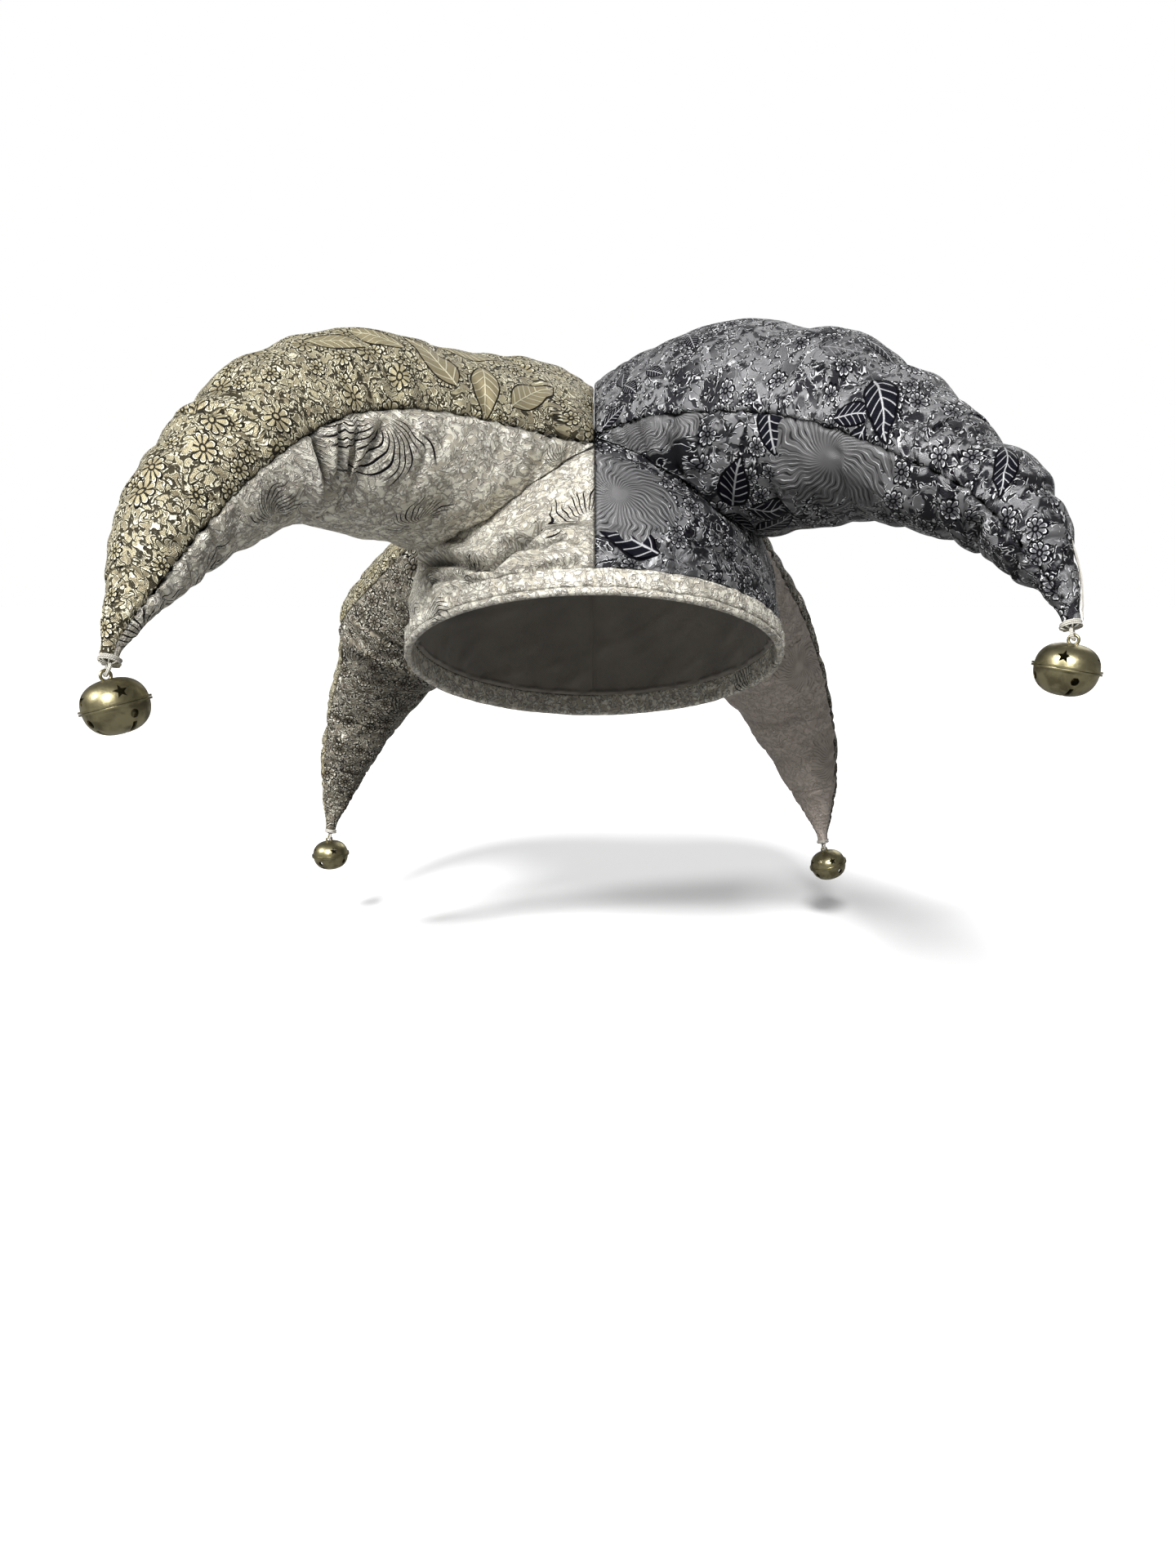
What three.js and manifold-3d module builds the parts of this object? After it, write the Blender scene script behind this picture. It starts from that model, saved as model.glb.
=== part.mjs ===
// Four-horned jester hat: a cloth cap tilted back on the head, four stuffed horns and four jingle bells.
// Millimetres, +Z up, +X to the wearer's left as seen from the front, -Y towards the front.
// The origin is the centre of the head opening.

import * as THREE from 'three';
import { mergeVertices } from 'three/addons/utils/BufferGeometryUtils.js';
import Module from 'manifold-3d';

const wasm = await Module();
wasm.setup();

const degrees = THREE.MathUtils.degToRad;

// Cap
const CAP_TILT = 22;
const CAP_WIDTH = 187;
const CAP_DEPTH = 203;
const CAP_HEIGHT = 112;
const CAP_FULLNESS = 2.5;
const CAP_CLOTH = 2.4;

// Band round the head opening, with its rolled lower edge
const BAND_HEIGHT = 12;
const BAND_THICKNESS = 3.6;
const ROLL_DIAMETER = 3.6;

// Horns
const HORN_REACH = 245;
const HORN_RISE = 90;
const HORN_WIDTH = 120;
const HORN_CROWN = 60;
const HORN_BELLY = 55;
const SEAM_PINCH = 0.04;

// Bells
const BELL_DIAMETER = 25;
const BELL_TOP_HEIGHT = 9.4;
const BELL_BASE_HEIGHT = 10.2;
const BELL_WALL = 0.8;
const FLANGE_WIDTH = 0.9;
const FLANGE_THICKNESS = 0.8;
const STAR_RADIUS = 2.7;
const STAR_COUNT = 4;
const SLOT_WIDTH = 1.5;
const SLOT_HOLE_DIAMETER = 3;
const PELLET_DIAMETER = 6;
const LUG_DIAMETER = 4.8;
const LUG_WIRE = 1.2;

// Sewing thread
const TIE_THICKNESS = 1.5;
const TIE_LOOP = 6;
const TIE_WINDINGS = 2;

// Space kept between pieces that touch
const GAP = 0.3;

// The lug is sunk into the top of the bell by its own wire
const LUG_SEAT = BELL_TOP_HEIGHT - LUG_WIRE;

// Sections of each horn from the cap's axis to its tip. Shares of the sizes above:
// out of HORN_REACH, up of HORN_RISE (the side seams), wide of HORN_WIDTH,
// crown (top above the seams) of HORN_CROWN, belly (depth below them) of HORN_BELLY.
// full is 1 for a lens-shaped section and 0.5 for an oval one.
const FRONT_LEFT_SECTIONS = [
  { out: -0.04, up: 0.92, wide: 0.95, crown: 0.98, belly: 0.74, full: 0.95 },
  { out: 0.16, up: 0.91, wide: 1.0, crown: 1.0, belly: 0.74, full: 0.95 },
  { out: 0.32, up: 0.82, wide: 0.95, crown: 0.96, belly: 0.66, full: 0.8 },
  { out: 0.48, up: 0.78, wide: 0.84, crown: 0.8, belly: 0.62, full: 0.65 },
  { out: 0.6, up: 0.73, wide: 0.72, crown: 0.75, belly: 0.63, full: 0.5 },
  { out: 0.72, up: 0.59, wide: 0.62, crown: 0.62, belly: 0.5, full: 0.5 },
  { out: 0.82, up: 0.32, wide: 0.52, crown: 0.5, belly: 0.37, full: 0.5 },
  { out: 0.9, up: 0.01, wide: 0.39, crown: 0.38, belly: 0.25, full: 0.5 },
  { out: 0.95, up: -0.26, wide: 0.26, crown: 0.22, belly: 0.15, full: 0.5 },
  { out: 0.98, up: -0.43, wide: 0.13, crown: 0.11, belly: 0.1, full: 0.5 },
  { out: 0.99, up: -0.52, wide: 0.06, crown: 0.06, belly: 0.06, full: 0.5 },
  { out: 0.993, up: -0.57, wide: 0.055, crown: 0.055, belly: 0.055, full: 0.5 },
];

const FRONT_RIGHT_SECTIONS = [
  { out: -0.04, up: 0.92, wide: 0.95, crown: 0.98, belly: 0.74, full: 0.95 },
  { out: 0.16, up: 0.93, wide: 1.0, crown: 1.06, belly: 0.76, full: 0.95 },
  { out: 0.32, up: 0.94, wide: 0.95, crown: 1.05, belly: 0.7, full: 0.8 },
  { out: 0.45, up: 0.88, wide: 0.82, crown: 0.95, belly: 0.6, full: 0.65 },
  { out: 0.56, up: 0.78, wide: 0.72, crown: 0.8, belly: 0.52, full: 0.55 },
  { out: 0.66, up: 0.63, wide: 0.62, crown: 0.64, belly: 0.38, full: 0.5 },
  { out: 0.76, up: 0.43, wide: 0.52, crown: 0.49, belly: 0.31, full: 0.5 },
  { out: 0.85, up: 0.23, wide: 0.42, crown: 0.36, belly: 0.27, full: 0.5 },
  { out: 0.91, up: -0.03, wide: 0.28, crown: 0.21, belly: 0.17, full: 0.5 },
  { out: 0.94, up: -0.2, wide: 0.14, crown: 0.11, belly: 0.1, full: 0.5 },
  { out: 0.95, up: -0.3, wide: 0.06, crown: 0.06, belly: 0.06, full: 0.5 },
  { out: 0.952, up: -0.35, wide: 0.055, crown: 0.055, belly: 0.055, full: 0.5 },
];

const BACK_LEFT_SECTIONS = [
  { out: -0.04, up: 0.92, wide: 0.95, crown: 0.98, belly: 0.74, full: 0.95 },
  { out: 0.16, up: 0.91, wide: 1.0, crown: 1.0, belly: 0.74, full: 0.95 },
  { out: 0.34, up: 0.9, wide: 0.94, crown: 0.82, belly: 0.74, full: 0.8 },
  { out: 0.54, up: 0.82, wide: 0.86, crown: 0.72, belly: 0.68, full: 0.6 },
  { out: 0.72, up: 0.68, wide: 0.84, crown: 0.62, belly: 0.52, full: 0.5 },
  { out: 0.84, up: 0.5, wide: 0.58, crown: 0.52, belly: 0.36, full: 0.5 },
  { out: 0.97, up: 0.22, wide: 0.43, crown: 0.4, belly: 0.26, full: 0.5 },
  { out: 1.06, up: -0.1, wide: 0.28, crown: 0.27, belly: 0.18, full: 0.5 },
  { out: 1.12, up: -0.4, wide: 0.13, crown: 0.13, belly: 0.12, full: 0.5 },
  { out: 1.135, up: -0.53, wide: 0.06, crown: 0.06, belly: 0.06, full: 0.5 },
  { out: 1.14, up: -0.58, wide: 0.055, crown: 0.055, belly: 0.055, full: 0.5 },
];

const BACK_RIGHT_SECTIONS = [
  { out: -0.04, up: 0.92, wide: 0.95, crown: 0.98, belly: 0.74, full: 0.95 },
  { out: 0.16, up: 0.91, wide: 1.0, crown: 1.0, belly: 0.74, full: 0.95 },
  { out: 0.34, up: 0.9, wide: 0.92, crown: 0.78, belly: 0.74, full: 0.8 },
  { out: 0.52, up: 0.81, wide: 0.78, crown: 0.62, belly: 0.72, full: 0.6 },
  { out: 0.68, up: 0.66, wide: 0.68, crown: 0.52, belly: 0.6, full: 0.5 },
  { out: 0.83, up: 0.42, wide: 0.56, crown: 0.46, belly: 0.5, full: 0.5 },
  { out: 0.95, up: 0.1, wide: 0.43, crown: 0.36, belly: 0.36, full: 0.5 },
  { out: 1.03, up: -0.24, wide: 0.28, crown: 0.25, belly: 0.24, full: 0.5 },
  { out: 1.07, up: -0.49, wide: 0.13, crown: 0.13, belly: 0.12, full: 0.5 },
  { out: 1.08, up: -0.61, wide: 0.06, crown: 0.06, belly: 0.06, full: 0.5 },
  { out: 1.085, up: -0.66, wide: 0.055, crown: 0.055, belly: 0.055, full: 0.5 },
];

// Folds and dents of the stuffed panels: row is the place in the horn's table, from and to the stretch of the
// section that is drawn in (0 at one side seam, 1 at the other), depth a share of the section there
const HORN_FOLDS = [
  { horn: 'front_left', part: 'under', row: 4, from: 0, to: 0.6, depth: 0.14 },
  { horn: 'front_left', part: 'top', row: 5.5, from: 0.2, to: 0.9, depth: 0.05 },
  { horn: 'front_right', part: 'top', row: 4.5, from: 0.25, to: 0.85, depth: 0.07 },
  { horn: 'front_right', part: 'top', row: 6.5, from: 0.25, to: 0.85, depth: 0.05 },
  { horn: 'front_right', part: 'under', row: 7.5, from: 0.3, to: 1, depth: 0.1 },
  { horn: 'back_left', part: 'under', row: 4.5, from: 0, to: 0.8, depth: 0.16 },
  { horn: 'back_left', part: 'top', row: 4.5, from: 0, to: 0.5, depth: 0.12 },
  { horn: 'back_right', part: 'under', row: 5.5, from: 0.2, to: 1, depth: 0.06 },
];

// Dents of the cap, placed by turn (degrees from +X) and rise (0 at the opening, 1 at the top)
const CAP_DENTS = [
  { turn: 228, rise: 0.28, spread: 13, height: 0.07, depth: 2.4 },
  { turn: 306, rise: 0.2, spread: 12, height: 0.06, depth: 1.4 },
];
const PUCKER_COUNT = 18;
const PUCKER_DEPTH = 0.5;
const PUCKER_RISE = 0.3;

// Colours of the cloths and the hardware
const GOLD = 0xa39a7c;
const SILVER = 0xbdb7a8;
const PEWTER = 0x5e5f68;
const BRONZE = 0x7d7562;
const TAUPE = 0x9a9086;
const BRASS = 0x84794f;
const THREAD = 0xe8e6e0;

// heading is the horn's direction in the plane of the opening, anticlockwise from +X seen from above;
// lean, swing and twist are how its bell hangs: tipped sideways, turned on its thread, and its lower half turned
// against the upper one
const HORNS = [
  { name: 'front_left', heading: 225.8, lean: -14, swing: 40, twist: 12, top: GOLD, under: SILVER,
    sections: FRONT_LEFT_SECTIONS },
  { name: 'front_right', heading: 318.7, lean: 9, swing: -33, twist: 30, top: PEWTER, under: PEWTER,
    sections: FRONT_RIGHT_SECTIONS },
  { name: 'back_left', heading: 129.9, lean: -3, swing: 26, twist: 37, top: GOLD, under: BRONZE,
    sections: BACK_LEFT_SECTIONS },
  { name: 'back_right', heading: 53.7, lean: -17, swing: 10, twist: 20, top: BRONZE, under: TAUPE,
    sections: BACK_RIGHT_SECTIONS },
];

const CAP_QUARTERS = [
  { name: 'crown_front_left', x: -1, y: -1, cloth: SILVER },
  { name: 'crown_front_right', x: 1, y: -1, cloth: PEWTER },
  { name: 'crown_back_left', x: -1, y: 1, cloth: BRONZE },
  { name: 'crown_back_right', x: 1, y: 1, cloth: TAUPE },
];

// How finely the curved surfaces are faceted
const CAP_STEPS_ROUND = 36;
const CAP_STEPS_UP = 8;
const BAND_STEPS_ROUND = 36;
const HORN_STEPS_ALONG = 2;
const HORN_STEPS_ROUND = 6;
const BELL_STEPS_ROUND = 12;
const BELL_STEPS_UP = 3;

// Solids and their cuts

function solidOf(geometry) {
  const bare = geometry.clone();
  bare.deleteAttribute('normal');
  bare.deleteAttribute('uv');
  const merged = mergeVertices(bare, 1e-4);
  return new wasm.Manifold(new wasm.Mesh({
    numProp: 3,
    vertProperties: new Float32Array(merged.attributes.position.array),
    triVerts: new Uint32Array(merged.index.array),
  }));
}

function geometryOf(solid) {
  const mesh = solid.getMesh();
  const geometry = new THREE.BufferGeometry();
  geometry.setAttribute('position', new THREE.BufferAttribute(new Float32Array(mesh.vertProperties), 3));
  geometry.setIndex(new THREE.BufferAttribute(new Uint32Array(mesh.triVerts), 1));
  geometry.computeVertexNormals();
  return geometry;
}

function placed(geometry, matrix) {
  return geometry.clone().applyMatrix4(matrix);
}

// A closed skin through rings of points, all with the same count. looped joins the last ring to the first;
// otherwise flat ends close it.
function skin(rings, looped = false) {
  const count = rings[0].length;
  const positions = rings.flat().flatMap((point) => [point.x, point.y, point.z]);
  const faces = [];
  const spans = looped ? rings.length : rings.length - 1;
  for (let ring = 0; ring < spans; ring++) {
    const here = ring * count;
    const next = ((ring + 1) % rings.length) * count;
    for (let i = 0; i < count; i++) {
      const j = (i + 1) % count;
      faces.push(here + i, here + j, next + j, here + i, next + j, next + i);
    }
  }
  if (!looped) {
    const last = (rings.length - 1) * count;
    const outline = (ring) => {
      const [origin, a] = ring;
      const along = a.clone().sub(origin).normalize();
      const normal = new THREE.Vector3();
      for (let i = 1; i < ring.length - 1; i++) {
        normal.add(ring[i].clone().sub(origin).cross(ring[i + 1].clone().sub(origin)));
      }
      const across = normal.normalize().clone().cross(along);
      return ring.map((p) => {
        const from = p.clone().sub(origin);
        return new THREE.Vector2(from.dot(along), from.dot(across));
      });
    };
    for (const [a, b, c] of THREE.ShapeUtils.triangulateShape(outline(rings[0]), [])) {
      faces.push(a, c, b);
    }
    for (const [a, b, c] of THREE.ShapeUtils.triangulateShape(outline(rings[rings.length - 1]), [])) {
      faces.push(last + a, last + b, last + c);
    }
  }
  const geometry = new THREE.BufferGeometry();
  geometry.setAttribute('position', new THREE.Float32BufferAttribute(positions, 3));
  geometry.setIndex(faces);
  return geometry;
}

// Cap: an oval dome whose profile is a superellipse

function capDent(turn, rise) {
  let depth = PUCKER_DEPTH * Math.cos(PUCKER_COUNT * turn) * Math.max(0, 1 - rise / PUCKER_RISE);
  for (const dent of CAP_DENTS) {
    const across = (THREE.MathUtils.radToDeg(turn) - dent.turn) / dent.spread;
    const up = (rise - dent.rise) / dent.height;
    depth += dent.depth * Math.exp(-across * across - up * up);
  }
  return depth;
}

function capPoint(turn, rise, inset) {
  const angle = rise * Math.PI / 2;
  const reach = Math.cos(angle) ** (2 / CAP_FULLNESS);
  const height = Math.sin(angle) ** (2 / CAP_FULLNESS);
  const dent = capDent(turn, rise);
  return new THREE.Vector3(
    (CAP_WIDTH / 2 - inset - dent) * reach * Math.cos(turn),
    (CAP_DEPTH / 2 - inset - dent) * reach * Math.sin(turn),
    (CAP_HEIGHT - inset) * height,
  );
}

function capRing(rise, inset, drop = 0) {
  const ring = [];
  for (let i = 0; i < CAP_STEPS_ROUND; i++) {
    const point = capPoint(2 * Math.PI * i / CAP_STEPS_ROUND, rise, inset);
    point.z -= drop;
    ring.push(point);
  }
  return ring;
}

// The dome filled up and carried on below the opening, to cut the horns with
function capBody(inset) {
  const rings = [capRing(0, inset, CAP_HEIGHT)];
  for (let i = 0; i < CAP_STEPS_UP; i++) {
    rings.push(capRing(i / CAP_STEPS_UP, inset));
  }
  rings.push(capRing(0.995, inset));
  return solidOf(skin(rings));
}

function quadrant(x, y) {
  const size = 4 * HORN_REACH;
  const box = new THREE.BoxGeometry(size, size, size);
  box.translate(x * (size + GAP) / 2, y * (size + GAP) / 2, 0);
  return solidOf(box);
}

function capShell() {
  const floor = new THREE.BoxGeometry(2 * CAP_WIDTH, 2 * CAP_DEPTH, 2 * CAP_HEIGHT);
  floor.translate(0, 0, BAND_HEIGHT + GAP - CAP_HEIGHT);
  return capBody(0).subtract(capBody(CAP_CLOTH)).subtract(solidOf(floor));
}

// Band: a flat strip on edge above a round roll, with a groove between them
function bandGeometry() {
  const outer = BAND_THICKNESS - CAP_CLOTH;
  const roll = ROLL_DIAMETER / 2;
  const section = [
    { in: -outer * 0.4, up: BAND_HEIGHT },
    { in: -outer, up: BAND_HEIGHT * 0.9 },
    { in: -outer, up: ROLL_DIAMETER + 0.8 },
    { in: -outer * 0.3, up: ROLL_DIAMETER },
    { in: -outer, up: ROLL_DIAMETER * 0.75 },
    { in: -outer - 0.3, up: roll * 0.7 },
    { in: -outer + roll, up: 0 },
    { in: CAP_CLOTH, up: roll * 0.5 },
    { in: CAP_CLOTH, up: BAND_HEIGHT },
  ];
  const rings = [];
  for (let i = 0; i < BAND_STEPS_ROUND; i++) {
    const turn = 2 * Math.PI * i / BAND_STEPS_ROUND;
    rings.push(section.map((corner) => new THREE.Vector3(
      (CAP_WIDTH / 2 - corner.in) * Math.cos(turn),
      (CAP_DEPTH / 2 - corner.in) * Math.sin(turn),
      corner.up,
    )));
  }
  return skin(rings, true);
}

// Horns

function hornRun(horn) {
  const heading = degrees(horn.heading);
  const ahead = new THREE.Vector3(Math.cos(heading), Math.sin(heading), 0);
  const path = new THREE.CatmullRomCurve3(horn.sections.map((row) => (
    ahead.clone().multiplyScalar(row.out * HORN_REACH).setZ(row.up * HORN_RISE)
  )));
  const sizes = new THREE.CatmullRomCurve3(horn.sections.map((row) => new THREE.Vector3(
    row.wide * HORN_WIDTH / 2, row.crown * HORN_CROWN, row.belly * HORN_BELLY,
  )));
  const side = new THREE.Vector3(-Math.sin(heading), Math.cos(heading), 0);
  return { path, sizes, side };
}

// How far the folds draw a section in, at a row of the horn's table and a share of the way round the panel
function foldShare(folds, row, round) {
  let share = 0;
  for (const fold of folds) {
    const near = Math.max(0, 1 - Math.abs(row - fold.row) * HORN_STEPS_ALONG);
    const within = THREE.MathUtils.clamp((round - fold.from) / (fold.to - fold.from), 0, 1);
    share += fold.depth * near * Math.sin(Math.PI * within);
  }
  return share;
}

// One panel with its share of the stuffing: the crown above the side seams, or the belly below them
function hornPanel(horn, part) {
  const above = part === 'top';
  const folds = HORN_FOLDS.filter((fold) => fold.horn === horn.name && fold.part === part);
  const { path, sizes, side } = hornRun(horn);
  const steps = (horn.sections.length - 1) * HORN_STEPS_ALONG;
  const rings = [];
  for (let step = 0; step <= steps; step++) {
    const t = step / steps;
    const row = t * (horn.sections.length - 1);
    const before = horn.sections[Math.floor(row)];
    const after = horn.sections[Math.ceil(row)];
    const full = THREE.MathUtils.lerp(before.full, after.full, row - Math.floor(row));
    const centre = path.getPoint(t);
    const outward = path.getTangent(t).cross(side);
    const size = sizes.getPoint(t);
    const ring = [];
    for (let i = 0; i <= HORN_STEPS_ROUND; i++) {
      const turn = Math.PI * i / HORN_STEPS_ROUND;
      const across = Math.cos(turn);
      const swell = Math.sin(turn) ** (2 * full);
      const pinch = 1 - SEAM_PINCH * Math.abs(across) ** 12;
      const drawn = 1 - foldShare(folds, row, i / HORN_STEPS_ROUND);
      const height = (above ? size.y : -size.z) * swell * drawn + (above ? GAP : -GAP) / 2;
      ring.push(centre.clone()
        .addScaledVector(side, size.x * across * pinch * drawn)
        .addScaledVector(outward, height));
    }
    rings.push(above ? ring : ring.reverse());
  }
  return skin(rings);
}

// Where a horn ends, and the way it points there
function hornTip(horn) {
  const { path } = hornRun(horn);
  const neck = horn.sections.at(-2).wide * HORN_WIDTH / 2;
  return { point: path.getPoint(1), ahead: path.getTangent(1), neck };
}

// Bells, built with the plane between their halves at z 0

function bellShape(half) {
  const radius = BELL_DIAMETER / 2 - FLANGE_WIDTH;
  const height = half === 'top' ? BELL_TOP_HEIGHT : BELL_BASE_HEIGHT;
  const sign = half === 'top' ? 1 : -1;
  const profile = [];
  const arc = (r, h, i) => {
    const angle = Math.PI / 2 * i / BELL_STEPS_UP;
    return new THREE.Vector2(r * Math.cos(angle) ** 0.8, sign * (h * Math.sin(angle) ** 0.9));
  };
  profile.push(new THREE.Vector2(radius - BELL_WALL, sign * GAP / 2));
  profile.push(new THREE.Vector2(BELL_DIAMETER / 2, sign * GAP / 2));
  profile.push(new THREE.Vector2(BELL_DIAMETER / 2, sign * FLANGE_THICKNESS));
  for (let i = 0; i <= BELL_STEPS_UP; i++) {
    const point = arc(radius, height, i);
    if (Math.abs(point.y) > FLANGE_THICKNESS) profile.push(point);
    else profile.push(new THREE.Vector2(radius, sign * FLANGE_THICKNESS));
  }
  for (let i = BELL_STEPS_UP; i > 0; i--) {
    profile.push(arc(radius - BELL_WALL, height - BELL_WALL, i));
  }
  profile.push(profile[0].clone());
  for (const point of profile) {
    if (point.x < 1e-6) point.x = 0;
  }
  const lathe = new THREE.LatheGeometry(half === 'top' ? profile : profile.reverse(), BELL_STEPS_ROUND);
  lathe.rotateX(Math.PI / 2);
  return lathe;
}

function starCutter() {
  const shape = new THREE.Shape();
  for (let i = 0; i < 10; i++) {
    const angle = Math.PI / 2 + Math.PI * i / 5;
    const radius = i % 2 ? STAR_RADIUS * 0.4 : STAR_RADIUS;
    const draw = i ? 'lineTo' : 'moveTo';
    shape[draw](radius * Math.cos(angle), radius * Math.sin(angle));
  }
  const geometry = new THREE.ExtrudeGeometry(shape, { depth: BELL_DIAMETER / 2, bevelEnabled: false });
  geometry.rotateX(Math.PI / 2);
  return geometry;
}

function bellTop() {
  let solid = solidOf(bellShape('top'));
  for (let i = 0; i < STAR_COUNT; i++) {
    const aim = new THREE.Matrix4().makeRotationZ(2 * Math.PI * i / STAR_COUNT)
      .multiply(new THREE.Matrix4().makeTranslation(0, -2, BELL_TOP_HEIGHT * 0.3))
      .multiply(new THREE.Matrix4().makeRotationX(degrees(-24)));
    solid = solid.subtract(solidOf(placed(starCutter(), aim)));
  }
  const lug = new THREE.TorusGeometry((LUG_DIAMETER - LUG_WIRE) / 2, LUG_WIRE / 2, 5, 10);
  lug.translate(0, LUG_SEAT + LUG_DIAMETER / 2, 0);
  lug.rotateX(Math.PI / 2);
  return solid.add(solidOf(lug));
}

function bellBase() {
  let solid = solidOf(bellShape('base'));
  const radius = BELL_DIAMETER / 2;
  for (const turn of [0, Math.PI / 2]) {
    const slot = new THREE.BoxGeometry(1.5 * radius, SLOT_WIDTH, BELL_BASE_HEIGHT);
    slot.translate(0, 0, -BELL_BASE_HEIGHT * 0.9);
    const hole = new THREE.CylinderGeometry(SLOT_HOLE_DIAMETER / 2, SLOT_HOLE_DIAMETER / 2, 3 * radius, 10);
    hole.rotateZ(Math.PI / 2);
    hole.translate(0, 0, -BELL_BASE_HEIGHT * 0.4);
    const spin = new THREE.Matrix4().makeRotationZ(turn);
    solid = solid.subtract(solidOf(placed(slot, spin))).subtract(solidOf(placed(hole, spin)));
  }
  return solid;
}

function pelletGeometry() {
  const pellet = new THREE.IcosahedronGeometry(PELLET_DIAMETER / 2, 1);
  pellet.translate(0, 0, PELLET_DIAMETER / 2 + BELL_WALL + GAP - BELL_BASE_HEIGHT);
  return pellet;
}

// Thread wound round the tip, and its loop through the bell's lug
function tieSolid(tipRadius) {
  const thread = TIE_THICKNESS / 2;
  const loop = new THREE.TorusGeometry((TIE_LOOP - TIE_THICKNESS) / 2, thread, 5, 10);
  loop.rotateX(Math.PI / 2);
  loop.rotateZ(Math.PI / 2);
  loop.translate(0, 0, -GAP - TIE_LOOP / 2);
  const wound = tipRadius + GAP + thread;
  const knot = new THREE.CylinderGeometry(wound, 0.6 * wound, TIE_THICKNESS, 8);
  knot.rotateX(Math.PI / 2);
  knot.translate(0, 0, -GAP - thread);
  let solid = solidOf(loop).add(solidOf(knot));
  for (let i = 0; i < TIE_WINDINGS; i++) {
    const ring = new THREE.TorusGeometry(wound, thread, 5, 8);
    ring.translate(0, 0, (0.8 * i - 0.3) * TIE_THICKNESS);
    solid = solid.add(solidOf(ring));
  }
  return solid;
}

// The hat

function mesh(name, geometry, color, metal = false) {
  const material = new THREE.MeshStandardMaterial({
    color, roughness: metal ? 0.35 : 0.6, metalness: metal ? 1 : 0,
  });
  const piece = new THREE.Mesh(geometry, material);
  piece.name = name;
  return piece;
}

function buildCap() {
  const cap = new THREE.Group();
  const shell = capShell();
  for (const quarter of CAP_QUARTERS) {
    const solid = shell.intersect(quadrant(quarter.x, quarter.y));
    cap.add(mesh(quarter.name, geometryOf(solid), quarter.cloth));
  }
  cap.add(mesh('hem_band', bandGeometry(), SILVER));
  return cap;
}

function buildHorn(horn) {
  const group = new THREE.Group();
  const heading = degrees(horn.heading);
  const corner = quadrant(Math.sign(Math.cos(heading)), Math.sign(Math.sin(heading)));
  const clear = capBody(-GAP);
  for (const part of ['top', 'under']) {
    const solid = solidOf(hornPanel(horn, part)).intersect(corner).subtract(clear);
    group.add(mesh(`horn_${horn.name}_${part}`, geometryOf(solid), horn[part]));
  }
  return group;
}

function buildBell(horn, cap) {
  const group = new THREE.Group();
  const tip = hornTip(horn);
  const end = tip.point.applyMatrix4(cap.matrixWorld);
  const ahead = tip.ahead.transformDirection(cap.matrixWorld);
  const tie = mesh(`tie_${horn.name}`, geometryOf(tieSolid(tip.neck)), THREAD);
  tie.quaternion.setFromUnitVectors(new THREE.Vector3(0, 0, -1), ahead);
  tie.rotateZ(degrees(horn.swing));
  tie.position.copy(end);
  group.add(tie);
  const bell = new THREE.Group();
  bell.rotation.set(0, degrees(horn.lean), degrees(horn.swing), 'YZX');
  bell.position.copy(end).addScaledVector(ahead, GAP + TIE_LOOP - TIE_THICKNESS / 2);
  const halves = new THREE.Group();
  halves.position.z = TIE_THICKNESS / 2 + GAP + LUG_WIRE - LUG_SEAT - LUG_DIAMETER;
  halves.add(mesh(`bell_top_${horn.name}`, geometryOf(bellTop()), BRASS, true));
  const base = mesh(`bell_base_${horn.name}`, geometryOf(bellBase()), BRASS, true);
  base.rotation.z = degrees(horn.twist);
  halves.add(base);
  halves.add(mesh(`bell_pellet_${horn.name}`, pelletGeometry(), BRASS, true));
  bell.add(halves);
  group.add(bell);
  return group;
}

const hat = new THREE.Group();
const tilted = new THREE.Group();
tilted.rotation.x = -degrees(CAP_TILT);
tilted.updateMatrixWorld();
tilted.add(buildCap());
for (const horn of HORNS) {
  tilted.add(buildHorn(horn));
  hat.add(buildBell(horn, tilted));
}
hat.add(tilted);

export default hat;
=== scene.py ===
"""Four-horned jester hat in brocade, with a jingle bell on each horn. Metres, +Z up, -Y towards the front."""

import math

import bmesh
import bpy
import numpy as np
from mathutils import Matrix, Vector


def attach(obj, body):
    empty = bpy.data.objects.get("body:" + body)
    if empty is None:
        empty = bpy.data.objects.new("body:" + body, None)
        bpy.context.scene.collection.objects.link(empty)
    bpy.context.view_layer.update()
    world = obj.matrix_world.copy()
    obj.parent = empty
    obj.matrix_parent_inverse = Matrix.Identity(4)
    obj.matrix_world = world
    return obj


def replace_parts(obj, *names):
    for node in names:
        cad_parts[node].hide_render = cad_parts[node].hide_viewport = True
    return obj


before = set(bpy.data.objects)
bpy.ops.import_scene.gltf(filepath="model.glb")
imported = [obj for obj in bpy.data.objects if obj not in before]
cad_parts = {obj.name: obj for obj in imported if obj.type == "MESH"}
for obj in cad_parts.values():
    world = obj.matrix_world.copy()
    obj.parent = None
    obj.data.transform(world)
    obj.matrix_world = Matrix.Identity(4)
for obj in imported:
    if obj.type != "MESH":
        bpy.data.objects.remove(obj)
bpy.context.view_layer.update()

# Cap
CAP_TILT = math.radians(22)
CAP_WIDTH = 0.187
CAP_DEPTH = 0.203
CAP_HEIGHT = 0.112
CAP_FULLNESS = 2.5
CAP_CLOTH = 0.0024

# Mean radii, for lengths measured round the cap's cloth and round its band
CAP_AROUND = 0.095
BAND_AROUND = 0.0975

# Band round the head opening, with its rolled lower edge
BAND_HEIGHT = 0.012
BAND_THICKNESS = 0.0036
ROLL_DIAMETER = 0.0036

# Horns
HORN_REACH = 0.245
HORN_RISE = 0.09
HORN_WIDTH = 0.12
HORN_CROWN = 0.06
HORN_BELLY = 0.055
HORN_STEPS = 44
CLOTH_STEPS = 20

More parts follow.
